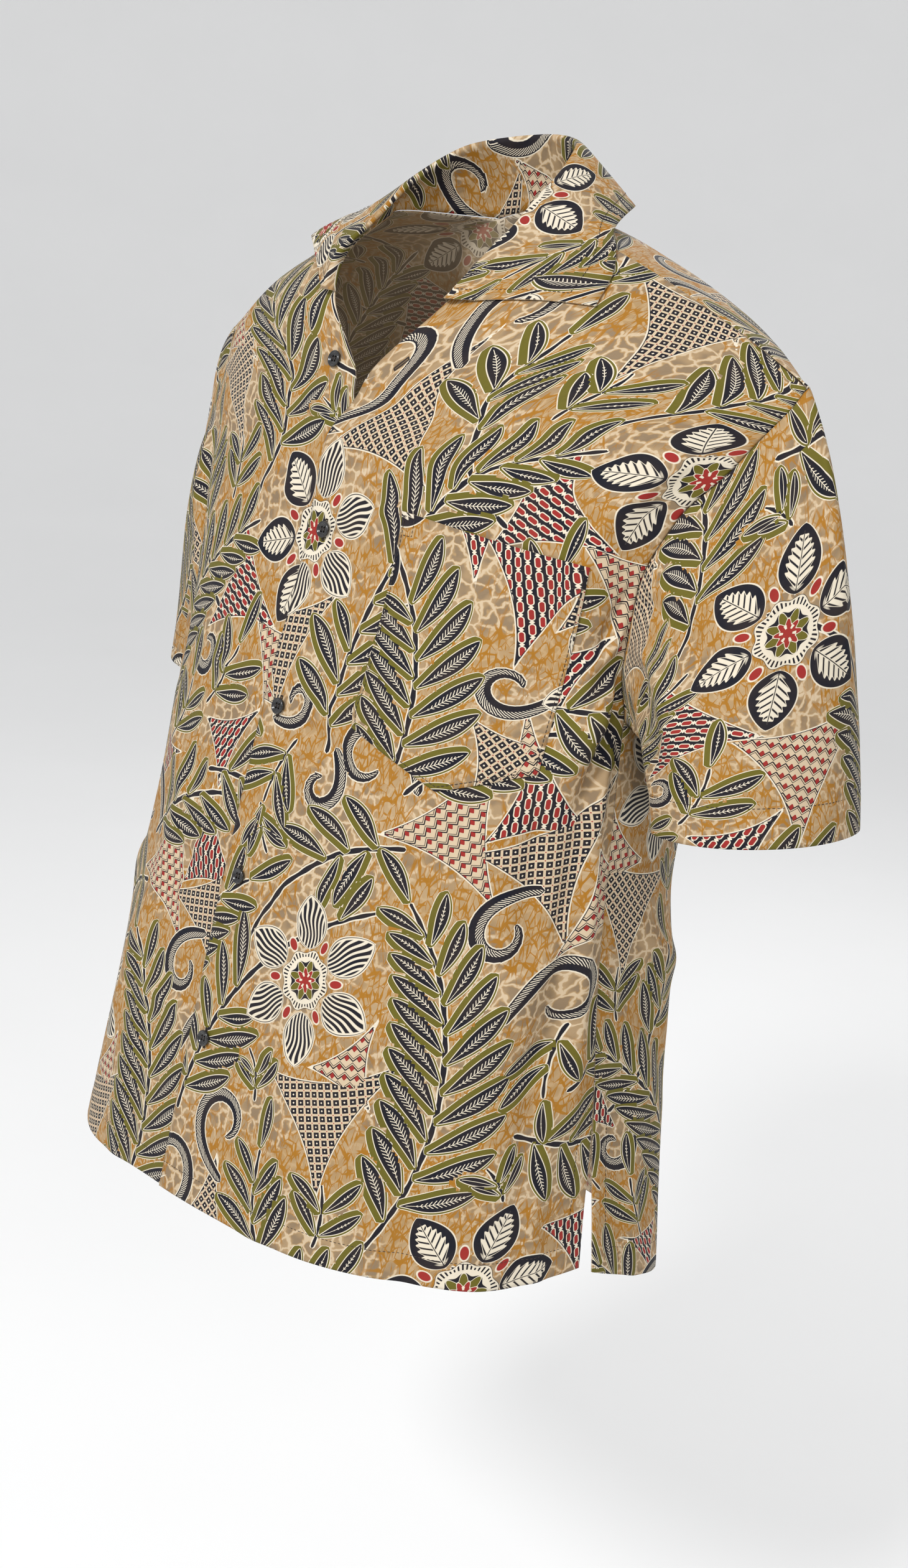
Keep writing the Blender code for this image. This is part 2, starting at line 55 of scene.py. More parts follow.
LAP_TUCK = 1.95
LAP_FADE = (0.05, 0.30)
TUCK_ENDS = (550, 604)
SHOULDER_TURN = 0.06
SWING = 20.0
SWING_FROM = -262.0
SWING_OVER = 375.0
SWING_CURVE = 1.3
SWING_STILL = 216.0
SWING_EVEN = 617.0
HEM_SAG = 9.0

# Sections across half a panel. Columns: name, up, in_x, in_y, in_z, out_x, out_y, out_z, turn, full
FRONT_ROWS = (
    ("hem", 0, 0, -161, -634, 212, -7, -629, 90, 0.64),
    ("vent", 105, 0, -149, -530, 204, -4, -530, 90, 0.64),
    ("waist", 235, 0, -131, -400, 199, -9, -405, 90, 0.62),
    ("underarm", 375, 0, -106, -262, 197, -9, -262, 90, 0.60),
    ("armhole", 420, 0, -94, -218, 200, -18, -225, 78, 0.60),
    ("upper chest", 468, 0, -84, -170, 205, -18, -180, 70, 0.60),
    ("break", 526, 0, -75, -110, 215, 0, -134, 60, 0.60),
    ("lapel", 562, 5, -65, -76, 235, 14, -106, 54, 0.58),
    ("collar end", 612, 52, -46, -24, 251, 26, -80, 45, 0.55),
    ("neck side", 645, 70, -22, 6, 261, 32, -66, 26, 0.50),
    ("shoulder", 675, 75, 18, 34, 267, 36, -53, 8, 0.40),
)
BACK_ROWS = (
    ("hem", 0, 0, 172, -690, 212, -1, -635, 90, 0.62),
    ("vent", 105, 0, 166, -560, 204, -3, -530, 90, 0.60),
    ("waist", 235, 0, 160, -415, 199, -9, -405, 90, 0.60),
    ("underarm", 375, 0, 154, -262, 197, -9, -262, 90, 0.60),
    ("armhole", 420, 0, 151, -212, 206, 50, -222, 75, 0.60),
    ("blade", 480, 0, 146, -145, 213, 79, -165, 62, 0.60),
    ("upper back", 545, 0, 132, -74, 232, 80, -112, 48, 0.58),
    ("yoke", 605, 0, 110, 0, 252, 61, -78, 36, 0.52),
    ("back neck", 645, 0, 86, 48, 262, 47, -61, 24, 0.46),
)
SHOULDER_BEND = 0.12
SHOULDER_BEND_FROM = 420
HEM_BEND = 1.5
HEM_BEND_TO = 235
TOP = 675.0
UNDERARM = 375.0
VENT_TOP = 105.0
VENT_SPREAD = 3.5
BACK_NECK = 645.0
COLLAR_START = 614.0
NECK_SHARE = 0.125
NECK_WAY = (80, -22, -2)
RISE_REACH = 0.36
ARRIVE_REACH = 0.30

# Largest folds. Columns: name, u and up where it starts, u and up where it ends, half-width, height
FRONT_FOLDS = (
    ("armpit drag", 0.98, 430, 0.72, 300, 24, 5.5),
    ("chest drop", 0.80, 600, 0.78, 330, 28, 5.0),
    ("side flute", 0.74, 260, 0.70, -60, 30, 7.0),
    ("belly flute", 0.36, 220, 0.33, -60, 34, 5.0),
    ("lapel pull", 0.10, 520, 0.42, 640, 24, -3.5),
)
BACK_FOLDS = (
    ("armpit drag", 0.97, 440, 0.66, 300, 28, 6.0),
    ("blade drop", 0.60, 560, 0.55, 240, 34, 6.0),
    ("side flute", 0.72, 280, 0.70, -60, 34, 8.0),
    ("middle flute", 0.24, 300, 0.26, -60, 40, 6.0),
)
FOLD_SPAN = 230.0
SEAM_QUIET = (0.82, 0.95)
LAP_QUIET = (0.06, 0.16)

# Columns: x, y, z of the middle of the open end, and x, y, z of the way over the shoulder
SLEEVES = {
    1: (265, 42, -318, 0.45, 0.0, -0.72),
    -1: (257, 68, -318, 0.70, 0.0, -0.60),
}
CUFF_ACROSS = 58.0
CUFF_DEEP = 68.0
CUFF_YAW = 12.0
CUFF_TILT = 0.12
LEAVE_UNDER = (0.60, 0.0, -0.20)
UNDER_STEP = 2.8
ARRIVE_CUFF = (0.12, 0.0, -1.0)

# Columns: name, share of the way to the middle of the back, x, y, z of the roll line and of the outer edge
COLLAR_ROWS = (
    ("front end", 0.00, 60, -51, -20, 147, -12, -25),
    ("leaf", 0.16, 69, -30, 8, 139, 6, -6),
    ("leaf side", 0.28, 67, -9, 26, 130, 17, 10),
    ("shoulder", 0.42, 66, 18, 52, 116, 27, 26),
    ("back side", 0.72, 48, 60, 84, 80, 82, 48),
    ("back", 1.00, 0, 80, 92, 0, 112, 38),
    ("other side", 1.28, -48, 60, 84, -80, 82, 48),
)
STAND_SHARE = 0.36
ROLL_WIDTH = 4.0
FALL_CROWN = (0, 0, 3)
RIGHT_LEAF_LIFT = (-17, 6, 40)
LIFT_REACH = 0.62
NEAR_COLLAR = 520

POCKET_TOP = ((67, 490), (196, 480))
POCKET_BOTTOM = ((66, 350), (134, 322), (192, 341))
BUTTON_RADIUS = 5.6
BUTTON_THICK = 2.6
BUTTON_LIFT = 0.4
BUTTON_UPS = (467, 350, 233, 118)
TOP_BUTTON = (17, 575)

# Size of a mesh face on each piece, and about how far the piece reaches across and up
FRONT_STEP, FRONT_SIZE = 2.5, (290, 734)
BACK_STEP, BACK_SIZE, BACK_TOP_SIZE = 3.25, (294, 745), 90
SLEEVE_STEP, SLEEVE_SIZE = 2.8, (470, 236)
COLLAR_FACE, COLLAR_SIZE = 2.6, (430, 104)
POCKET_STEP, POCKET_SIZE = 2.2, (130, 156)

# Creases, from (u, up) to (u, up): half-width and height at the middle, in mm. A trough is below 0.
FRONT_CREASES = (
    ("armpit 1", 0.97, 418, 0.80, 352, 8, 6.2),
    ("armpit 2", 0.98, 396, 0.84, 318, 7, -5.6),
    ("armpit 3", 0.99, 452, 0.82, 404, 7, 4.7),
    ("armpit 4", 0.97, 476, 0.86, 420, 6, -4.1),
    ("armpit 5", 0.98, 380, 0.88, 290, 7, 3.8),
    ("side fall 1", 0.94, 340, 0.91, 60, 11, 5.9),
    ("side fall 2", 0.85, 310, 0.81, 20, 13, -5.5),
    ("chest slant", 0.84, 560, 0.70, 430, 13, 4.2),
    ("chest hollow", 0.72, 520, 0.62, 330, 17, -5.3),
    ("side slant 1", 0.90, 250, 0.62, 170, 12, 4.7),
    ("side slant 2", 0.92, 200, 0.70, 120, 11, -3.9),
    ("waist slant", 0.16, 262, 0.52, 318, 12, 3.2),
    ("button pull 1", 0.05, 352, 0.30, 366, 7, 2.9),
    ("button pull 2", 0.05, 344, 0.26, 322, 6, -2.5),
    ("button pull 3", 0.05, 236, 0.32, 252, 8, 2.7),
    ("button pull 4", 0.05, 230, 0.24, 206, 6, -2.3),
    ("button pull 5", 0.05, 470, 0.24, 498, 6, 2.7),
    ("button pull 6", 0.05, 120, 0.28, 138, 8, 2.5),
    ("hem wave 1", 0.20, -20, 0.24, 150, 11, 3.6),
    ("hem wave 2", 0.52, -20, 0.50, 180, 12, -4.0),
    ("hem wave 3", 0.86, -20, 0.84, 130, 9, 3.2),
    ("pocket drop", 0.70, 330, 0.80, 200, 12, -4.4),
    ("front fall", 0.28, 300, 0.34, 60, 13, 3.6),
)
BACK_CREASES = (
    ("armpit 1", 0.97, 430, 0.78, 352, 9, 5.0),
    ("armpit 2", 0.98, 404, 0.82, 322, 7, -4.2),
    ("armpit 3", 0.98, 462, 0.80, 410, 8, 3.8),
    ("blade slant", 0.82, 560, 0.62, 452, 12, 3.1),
    ("small of back 1", 0.04, 300, 0.34, 322, 11, 2.9),
    ("small of back 2", 0.08, 270, 0.44, 262, 10, -2.8),
    ("side slant 1", 0.88, 246, 0.58, 180, 11, 3.4),
    ("side slant 2", 0.90, 190, 0.66, 112, 10, -2.9),
    ("hem wave 1", 0.12, -20, 0.13, 170, 12, 3.4),
    ("hem wave 2", 0.44, -20, 0.46, 200, 13, -3.8),
    ("hem wave 3", 0.86, -20, 0.84, 140, 9, 2.8),
)
# Creases on a sleeve, from (a, t) to (a, t). Half-width in mm across the arm.
SLEEVE_CREASES = (
    ("front drag 1", 0.10, 0.05, 0.22, 0.75, 8, 5.3),
    ("front drag 2", 0.15, 0.00, 0.29, 0.55, 7, -4.8),
    ("front drag 3", 0.05, 0.20, 0.14, 0.95, 9, 4.3),
    ("shoulder drop 1", 0.36, 0.02, 0.33, 0.80, 12, 3.5),
    ("shoulder drop 2", 0.47, 0.05, 0.45, 0.60, 10, -3.2),
    ("back drag 1", 0.90, 0.05, 0.78, 0.75, 9, 4.8),
    ("back drag 2", 0.84, 0.00, 0.70, 0.55, 8, -4.5),
    ("back drop", 0.62, 0.05, 0.64, 0.85, 12, 3.4),
)
# Length of cloth that one step of u or a, and of up or t, stands for in the tables of creases
FRONT_SPAN, BACK_SPAN, SLEEVE_SPAN = (260, 1.08), (290, 1.1), (440, 230)
HEM_FOLD = 19.0
CUFF_FOLD = 24.0
VENT_FOLD = 13.0
PUCKER, PUCKER_REACH = 0.25, 9.0
STITCH_DIP, STITCH_REACH = 0.35, 1.3

# Sewing: how proud the thread lies, and where the lines run, in mm
THREAD_RISE = 0.12
SEAM_RUN = 0.955
COLLAR_STITCH = 6.0
COLLAR_STITCH_SHARES = (0.965, 0.93)
POCKET_STITCH = 3.0
POCKET_RISE = SHELL + 0.4
POCKET_LIFT = 0.25
POCKET_DIP = 2.5
POCKET_BILLOW, BILLOW_ENDS = 0.9, (4, 40)
POCKET_WIDE, POCKET_HIGH = 128, 150
POCKET_CLOTH = 1.087
BUTTONHOLE_LONG = 13.0
OPEN_BUTTONHOLE = (0.05, 577.0, 12.0)
# Button: share of the radius and of the thickness along its turned outline, then its four holes in mm
BUTTON_OUTLINE = (
    (0.0, 0.58), (0.50, 0.58), (0.60, 0.62), (0.68, 0.80), (0.76, 0.95), (0.84, 1.0), (0.91, 0.96),
    (0.97, 0.82), (1.0, 0.58), (0.985, 0.36), (0.93, 0.17), (0.82, 0.04), (0.66, 0.0), (0.0, 0.0),
)
HOLE_RADIUS, HOLE_AWAY, HOLE_DEEP = 0.85, 1.75, 10.0
THREAD_AWAY = 1.24

# Printed cloth: size of its repeat
REPEAT = (452.0, 548.0)
LINE_STEP = 4.0
# Fronds. Columns: x, y, heading, length, turn, leaf length
FRONDS = (
    (84, 20, 100, 272, -78, 48),
    (330, 30, 66, 262, 84, 48),
    (196, 256, 60, 250, 72, 47),
    (420, 250, 108, 250, -74, 48),
    (20, 300, 84, 232, -62, 46),
    (214, 70, 12, 176, -70, 42),
    (306, 372, 36, 168, 92, 42),
    (160, 520, 186, 150, 70, 40),
    (176, 178, 150, 150, -62, 42),
    (150, 6, 52, 140, -58, 40),
    (276, 344, -20, 168, 46, 42),
)
LEAF_SPACING = 20.0
LEAF_ANGLE = 54.0
# Flowers. Columns: x, y, reach of the petals, turn, kind (0 dark petals, 1 pale ones)
FLOWERS = (
    (268, 238, 62, 12, 0),
    (112, 420, 56, 40, 1),
    (414, 496, 61, 5, 0),
    (24, 150, 56, 22, 1),
)
# Filled patches with hollow sides, sprigs and hooked curls are set in the spaces left between the rest
PATCH_HOLLOW = 0.19
PATCH_REACH = 2.5
SPACE_LIMITS = (9.5, 25.0)
SPACES_MOST = 36
CURL_TURN = 310.0
CURL_TIGHTEN = 1.8

# Mustard crackle. Columns: turn, scale and width of the lines, and where in a cluster they start
CRACKLE = ((0.6, 0.105, 0.060, 0.43), (2.2, 0.15, 0.072, 0.46), (1.3, 0.24, 0.085, 0.51))
THREADS = 0.42

# Floor that rises into a low wall all round. Columns: distance from the middle and height, in m
BAY = (
    (3.0, -1.25), (4.0, -1.23), (5.0, -1.12), (6.0, -0.85),
    (7.0, -0.35), (7.8, 0.4), (8.3, 1.4), (8.5, 2.6),
)
BAY_SIDES = 72
SKY, SKY_STRENGTH = (0.98, 0.985, 1.0, 1.0), 0.70
# Columns: name, place, spot that it looks at, size and power
LIGHTS = (
    ("key", (0.6, -2.5, 1.6), (0.0, 0.0, -0.3), 0.6, 60),
    ("side", (2.4, -1.2, 0.9), (0.1, 0.0, -0.3), 1.0, 12),
    ("back", (-1.2, 2.3, 1.5), (0.0, 0.0, -0.2), 1.4, 24),
)
# Camera, fitted to the photograph's view: place in mm, then turn, downward look and tilt in degrees, then
# focal length and height of the frame in pixels
CAMERA_AT = (937.8, -805.9, -28.4)
CAMERA_TURN = (47.72, 14.5, 4.99)
FOCAL, FRAME_HIGH = 2910.3, 2520.0
SENSOR = 36.0

INK = {
    "ground": (0.432, 0.298, 0.160),
    "ground_warm": (0.420, 0.264, 0.112),
    "pebble": (0.252, 0.178, 0.106),
    "pale": (0.600, 0.474, 0.322),
    "mustard": (0.350, 0.150, 0.012),
    "cream": (0.730, 0.655, 0.520),
    "navy": (0.006, 0.007, 0.014),
    "olive": (0.125, 0.108, 0.012),
    "red": (0.300, 0.020, 0.018),
    "worn": (0.240, 0.150, 0.080),
    "thread": (0.020, 0.013, 0.010),
    "thread_lit": (0.060, 0.040, 0.028),
    "plastic": (0.008, 0.008, 0.009),
    "plastic_dust": (0.030, 0.028, 0.027),
    "floor": (0.93, 0.93, 0.925),
    "floor_grain": (0.90, 0.90, 0.895),
}
# Cloth pieces. Columns: node, place and turn on the printed cloth, flat size in m, hold, area in sq m
CUTS = (
    ("front_left", (17, 240), 0, (0.31, 0.75), "draped", 0.1856),
    ("front_right", (293, 319), 0, (0.31, 0.75), "draped", 0.1811),
    ("back", (330, 40), 0, (0.60, 0.80), "draped", 0.4231),
    ("sleeve_left", (308, 362), 0, (0.52, 0.27), "draped", 0.069),
    ("sleeve_right", (120, 500), 0, (0.52, 0.27), "draped", 0.072),
    ("collar", (300, 500), 180, (0.47, 0.105), "folded", 0.039),
    ("pocket", (239, -291), 0, (0.132, 0.165), "laid", 0.0197),
)


def glide(knots, values, at):
    """Smooth curve through a table column that never overshoots its values."""
    knots, values = np.asarray(knots, float), np.asarray(values, float)
    step = np.diff(knots)
    rise = np.diff(values) / step
    slope = np.zeros(len(values))
    slope[0], slope[-1] = rise[0], rise[-1]
    for i in range(1, len(values) - 1):
        if rise[i - 1] * rise[i] > 0:
            near, far = 2 * step[i] + step[i - 1], step[i] + 2 * step[i - 1]
            slope[i] = (near + far) / (near / rise[i - 1] + far / rise[i])
    k = np.clip(np.searchsorted(knots, at) - 1, 0, len(step) - 1)
    t = (at - knots[k]) / step[k]
    return hermite(values[k], step[k] * slope[k], values[k + 1], step[k] * slope[k + 1], t)


def hermite(start, leave, end, arrive, t):
    return (
        (1 + 2 * t) * (1 - t) ** 2 * start
        + t * (1 - t) ** 2 * leave
        + t * t * (3 - 2 * t) * end
        + t * t * (t - 1) * arrive
    )


def bezier(p0, p1, p2, p3, t):
    return (1 - t) ** 3 * p0 + 3 * t * (1 - t) ** 2 * p1 + 3 * t * t * (1 - t) * p2 + t ** 3 * p3


def smooth(low, high, value):
    t = np.clip((value - low) / (high - low), 0.0, 1.0)
    return t * t * (3 - 2 * t)


def unit(vectors):
    return vectors / np.maximum(np.linalg.norm(vectors, axis=-1, keepdims=True), 1e-9)


def grid(first, second):
    """Two arrays that span a grid. Each side is given as start, end and count."""
    return np.meshgrid(np.linspace(*first), np.linspace(*second), indexing="ij")


def on_path(at, length, values):
    """Rows of values read at lengths along a path."""
    return np.stack([np.interp(at, length, values[:, k]) for k in range(3)], -1)


def toward(angle):
    return np.stack([np.cos(angle), np.sin(angle)], -1)


def read_rows(rows, at):
    knots = [row[1] for row in rows]
    return [glide(knots, [row[c] for row in rows], at) for c in range(2, len(rows[0]))]


def plain_panel(rows, u, up, low_bend=0.0):
    """Point of half a panel before folds: u is 0 at the middle or neckline, 1 at the outer edge."""
    mirror = np.where(u < 0, -1.0, 1.0)
    u = np.abs(u)
    in_x, in_y, in_z, out_x, out_y, out_z, turn, full = read_rows(rows, up)
    wide, deep = out_x - in_x, out_y - in_y
    mid_x2 = wide - full * np.abs(deep) / np.tan(np.radians(turn))
    x = in_x + mirror * bezier(0, full * wide, mid_x2, wide, u)
    y = bezier(in_y, in_y, out_y - full * deep, out_y, u)
    bend = 1 + SHOULDER_BEND * smooth(SHOULDER_BEND_FROM, TOP, up)
    bend = bend + low_bend * (1 - smooth(0, HEM_BEND_TO, up))
    return np.stack([x, y, in_z + (out_z - in_z) * u ** bend], -1)


def plain_front(u, up):
    return plain_panel(FRONT_ROWS, u, np.clip(up, 0, TOP))


def plain_back(u, up):
    u, up = np.broadcast_arrays(u, up)
    low = plain_panel(BACK_ROWS, u, np.clip(up, 0, BACK_NECK), HEM_BEND)
    share = np.clip((up - BACK_NECK) / (TOP - BACK_NECK), 0, 1)[..., None]
    return np.where((up > BACK_NECK)[..., None], back_top(np.clip(u, 0, 1), share), low)


def back_top(u, share):
    on_row = NECK_SHARE + (1 - NECK_SHARE) * u
    neck, top = np.full_like(u, BACK_NECK), np.full_like(u, TOP)
    row = plain_panel(BACK_ROWS, on_row, neck)
    rise = unit(row - plain_panel(BACK_ROWS, on_row, neck - 4))
    seam = plain_front(u, top)
    onward = unit(plain_front(u, top - 3) - seam)
    reach = np.linalg.norm(seam - row, axis=-1, keepdims=True)
    at_neck = (1 - smooth(0, 0.3, u))[..., None]
    leave = at_neck * np.array(NECK_WAY, float) + (1 - at_neck) * rise * reach * RISE_REACH
    return hermite(row, leave, seam, onward * reach * ARRIVE_REACH, share)


def outward(point, facing, u, up, split=TOP):
    low = np.where(up <= split, up - 2, np.maximum(up - 2, split + 0.001))
    high = np.where(up <= split, np.minimum(up + 2, split), up + 2)
    du = point(np.minimum(u + 0.004, 1), up) - point(u - 0.004, up)
    return facing * unit(np.cross(du, point(u, high) - point(u, low)))


def front_out(u, up):
    return outward(plain_front, 1.0, u, up)


def back_out(u, up):
    inside = np.where(up > BACK_NECK, np.maximum(u, 0.004), u)
    return outward(plain_back, -1.0, inside, up, BACK_NECK)


def fold_height(folds, u, up):
    total = np.zeros(np.broadcast(u, up).shape)
    for _, u0, up0, u1, up1, width, height in folds:
        along = (up - up0) / (up1 - up0)
        across = (u - u0 - (u1 - u0) * along) * FOLD_SPAN / width
        fade = smooth(0.0, 0.25, along) * (1 - smooth(0.8, 1.0, along))
        total = total + height * fade * np.exp(-across * across)
    return total * (1 - smooth(*SEAM_QUIET, u)) * smooth(*LAP_QUIET, np.abs(u))


def place(points, side):
    x, y, z = np.moveaxis(np.array(points, float), -1, 0)
    drop = np.clip((SWING_FROM - z) / SWING_OVER, 0, 1) ** SWING_CURVE
    x = side * x
    x = x - SWING * drop * (1 - x / SWING_STILL) * (1 + x / SWING_EVEN)
    sag = HEM_SAG * drop * smooth(0, SWING_STILL, -x)
    return np.stack([x, y + SHOULDER_TURN * x, z - sag], -1)


def front(side, u, up):
    height = fold_height(FRONT_FOLDS, u, up)
    points = place(plain_front(u, up) + front_out(u, up) * height[..., None], side)
    if side < 0:
        points[..., 1] += LAP_TUCK * (1 - smooth(*LAP_FADE, u)) * (1 - smooth(*TUCK_ENDS, up))
    return points


def back(side, u, up):
    height = fold_height(BACK_FOLDS, u, up)
    return place(plain_back(u, up) + back_out(u, up) * height[..., None], side)


def whole_back(u, up):
    """Point of the back: u from -1 at the right side to 1 at the left."""
    return np.where((u >= 0)[..., None], back(1, np.abs(u), up), back(-1, np.abs(u), up))


def by_length(edge, carried, at):
    run = np.r_[0, np.cumsum(np.linalg.norm(np.diff(edge, axis=0), axis=1))]
    return [on_path(at, run / run[-1], column) for column in (edge, carried)]


def armhole(a):
    ups = np.linspace(UNDERARM, TOP, 160)
    ones = np.ones_like(ups)
    fore = by_length(plain_front(ones, ups), front_out(ones, ups), np.clip(2 * a, 0, 1))
    rear = by_length(plain_back(ones, ups), back_out(ones, ups), np.clip(2 - 2 * a, 0, 1))
    in_front = (a <= 0.5)[..., None]
    return [np.where(in_front, f, r) for f, r in zip(fore, rear)]


def sleeve(side, a, t):
    """Point of a sleeve: a is 0 under the arm, 0.25 in front, 0.5 on top. t runs from seam to open end."""
    seam, body_out = armhole(a)
    cuff, leave_over = np.array(SLEEVES[side][:3], float), np.array(SLEEVES[side][3:])
    over = ((1 - np.cos(2 * np.pi * a)) / 2)[..., None]
    way = (1 - over) * np.array(LEAVE_UNDER) + over * leave_over
    lean = smooth(0.0, 0.35, (unit(way) * body_out).sum(-1))[..., None]
    start = seam + lean * UNDER_STEP * body_out + (1 - lean) * GAP * unit(way)
    across = -np.cos(2 * np.pi * a) * CUFF_ACROSS
    deep = -np.sin(2 * np.pi * a) * CUFF_DEEP
    yaw = math.radians(CUFF_YAW)
    end = cuff + np.stack([
        across * math.cos(yaw) - deep * math.sin(yaw),
        across * math.sin(yaw) + deep * math.cos(yaw),
        CUFF_TILT * across,
    ], -1)
    reach = np.linalg.norm(end - start, axis=-1, keepdims=True)
    return place(hermite(start, way * reach, end, np.array(ARRIVE_CUFF) * reach, t[..., None]), side)


def neckline(along):
    fore_up = np.linspace(COLLAR_START, TOP, 60)
    rear_up = np.linspace(TOP, BACK_NECK + 0.01, 60)
    flat_u = np.linspace(NECK_SHARE, 0, 12)
    zero, neck = np.zeros(60), np.full(12, BACK_NECK)
    edge = [plain_front(zero, fore_up), plain_back(zero, rear_up), plain_back(flat_u, neck)]
    out = [front_out(zero + 0.01, fore_up), back_out(zero + 0.01, rear_up), back_out(flat_u + 0.01, neck)]
    seam, body_out = by_length(np.concatenate(edge), np.concatenate(out), along)
    return seam + body_out * (CLOTH + GAP + COLLAR_STEP)


def keep_off(points, need):
    """Push points out until they are at least need away from the body's inner face."""
    u, up = grid((0, 1, 60), (NEAR_COLLAR, TOP, 70))
    spots = np.concatenate([plain_front(u, up).reshape(-1, 3), plain_back(u, up).reshape(-1, 3)])
    outs = np.concatenate([front_out(u, up).reshape(-1, 3), back_out(u, up).reshape(-1, 3)])
    tree = KDTree(len(spots))
    for k, spot in enumerate(spots):
        tree.insert(spot, k)
    tree.balance()
    flat = points.reshape(-1, 3).copy()
    for _ in range(3):
        nearest = np.array([tree.find(p)[1] for p in flat])
        away = ((flat - spots[nearest]) * outs[nearest]).sum(1)
        flat += outs[nearest] * np.maximum(need - away, 0)[:, None]
    return flat.reshape(points.shape)


def collar(c, b):
    """Point of the collar: c from -1 at the right leaf to 1 at the left, b from the seam to the edge."""
    along = 1 - np.abs(c)
    values = read_rows(COLLAR_ROWS, along)
    seam = neckline(along)
    roll, edge = np.stack(values[:3], -1), np.stack(values[3:], -1)
    lifted = (c < 0) * (1 - smooth(0.0, LIFT_REACH, along))
    edge = edge + lifted[..., None] * np.array(RIGHT_LEAF_LIFT, float)
    out = unit((edge - roll) * np.array([1, 1, 0]))
    rise = (roll - seam) * np.array([0, 0, 1])
    t_stand = np.clip(b / STAND_SHARE, 0, 1)[..., None]
    t_fall = np.clip((b - STAND_SHARE) / (1 - STAND_SHARE), 0, 1)[..., None]
    stand = bezier(seam, seam + 0.6 * rise, roll - ROLL_WIDTH * out, roll, t_stand)
    crown = roll + 0.4 * (edge - roll) + np.array(FALL_CROWN)
    fall = bezier(roll, roll + ROLL_WIDTH * out, crown, edge, t_fall)
    points = keep_off(np.where((b < STAND_SHARE)[..., None], stand, fall), CLOTH + GAP + COLLAR_STEP)
    x = np.where(c < 0, -points[..., 0], points[..., 0])
    return np.stack([x, points[..., 1] + SHOULDER_TURN * x, points[..., 2]], -1)


def lap_share(up):
    span = np.linalg.norm(plain_front(0 * up + 0.02, up) - plain_front(0 * up, up), axis=-1) / 0.02
    return LAP * (1 - smooth(*LAP_ENDS, up)) / span


def outer_share(point, up):
    ones = np.ones_like(up)
    span = np.linalg.norm(point(ones, up) - point(ones - 0.01, up), axis=-1) / 0.01
    return 1 - (GAP / 2 + VENT_SPREAD * (1 - smooth(0, VENT_TOP, up))) / span


def below_shoulder(point, u):
    top = np.full_like(u, TOP)
    return TOP - GAP / 2 / np.linalg.norm(point(u, top) - point(u, top - 1), axis=-1)


def run_along(points):
    """Length along the first axis of a grid of points, from its first row."""
    step = np.linalg.norm(np.diff(points, axis=0), axis=-1)
    return np.concatenate([np.zeros((1,) + step.shape[1:]), np.cumsum(step, axis=0)])


def crease_height(creases, u, up, span, quiet):
    """Soft ridges and troughs, uneven along their length: they waver, swell and fade at both ends."""
    total = np.zeros(np.broadcast(u, up).shape)
    for k, (_, u0, up0, u1, up1, width, height) in enumerate(creases):
        way = np.array([(u1 - u0) * span[0], (up1 - up0) * span[1]])
        length = np.hypot(*way)
        dx, dy = (u - u0) * span[0], (up - up0) * span[1]
        along = (dx * way[0] + dy * way[1]) / length ** 2
        across = (dy * way[0] - dx * way[1]) / length
        across = across + 0.35 * width * np.sin(5.3 * along + 1.7 * k)
        swell = width * (0.75 + 0.5 * np.clip(along, 0, 1))
        fade = smooth(-0.1, 0.3, along) * (1 - smooth(0.6, 1.1, along))
        total = total + height * fade * np.exp(-((across / swell) ** 2))
    return total * quiet


def uneven(x, y):
    """Slight unevenness that all worn cotton has, in mm."""
    wave = np.sin(x / 17 + 1.3 * np.sin(y / 41)) * np.sin(y / 29 + 1.1 * np.sin(x / 37))
    return 0.28 * wave + 0.16 * np.sin((x + 0.6 * y) / 9.5 + np.sin(y / 23))


def stitch_dip(distance):
    """Cloth drawn in along a line of sewing."""
    return -STITCH_DIP * np.exp(-((distance / STITCH_REACH) ** 2))


def hem_relief(distance, wave):
    """Cloth along the sewing of a hem: drawn in, with a slight pucker whose phase is wave."""
    return stitch_dip(distance) + PUCKER * np.sin(wave) * np.exp(-((distance / PUCKER_REACH) ** 2))


def front_relief(u, up, across):
    """Height of creases, hem and edges of a front above its plain form. across: mm from its inner edge."""
    quiet = smooth(0.03, 0.14, u) * (1 - smooth(0.94, 0.995, u))
    height = crease_height(FRONT_CREASES, u, up, FRONT_SPAN, quiet)
    height = height + uneven(across, up) * smooth(0.0, 0.12, u) * (1 - smooth(0.93, 0.99, u))
    return height + hem_relief(up - HEM_FOLD, across / 4.1 + np.sin(across / 23)) * smooth(0.0, 0.05, u)


def back_relief(u, up, across):
    u = np.abs(u)
    height = crease_height(BACK_CREASES, u, up, BACK_SPAN, 1 - smooth(0.94, 0.995, u))
    height = height + uneven(across + 50, up) * (1 - smooth(0.93, 0.99, u))
    return height + hem_relief(up - HEM_FOLD, across / 4.3 + np.sin(across / 19))


def sleeve_relief(a, t, length):
    """Height on a sleeve. length: mm left to the open end."""
    quiet = smooth(0.0, 0.10, t)
    height = crease_height(SLEEVE_CREASES, a, t, SLEEVE_SPAN, quiet)
    height = height + uneven(a * SLEEVE_SPAN[0], t * SLEEVE_SPAN[1]) * quiet
    return height + hem_relief(length - CUFF_FOLD, a * 100)


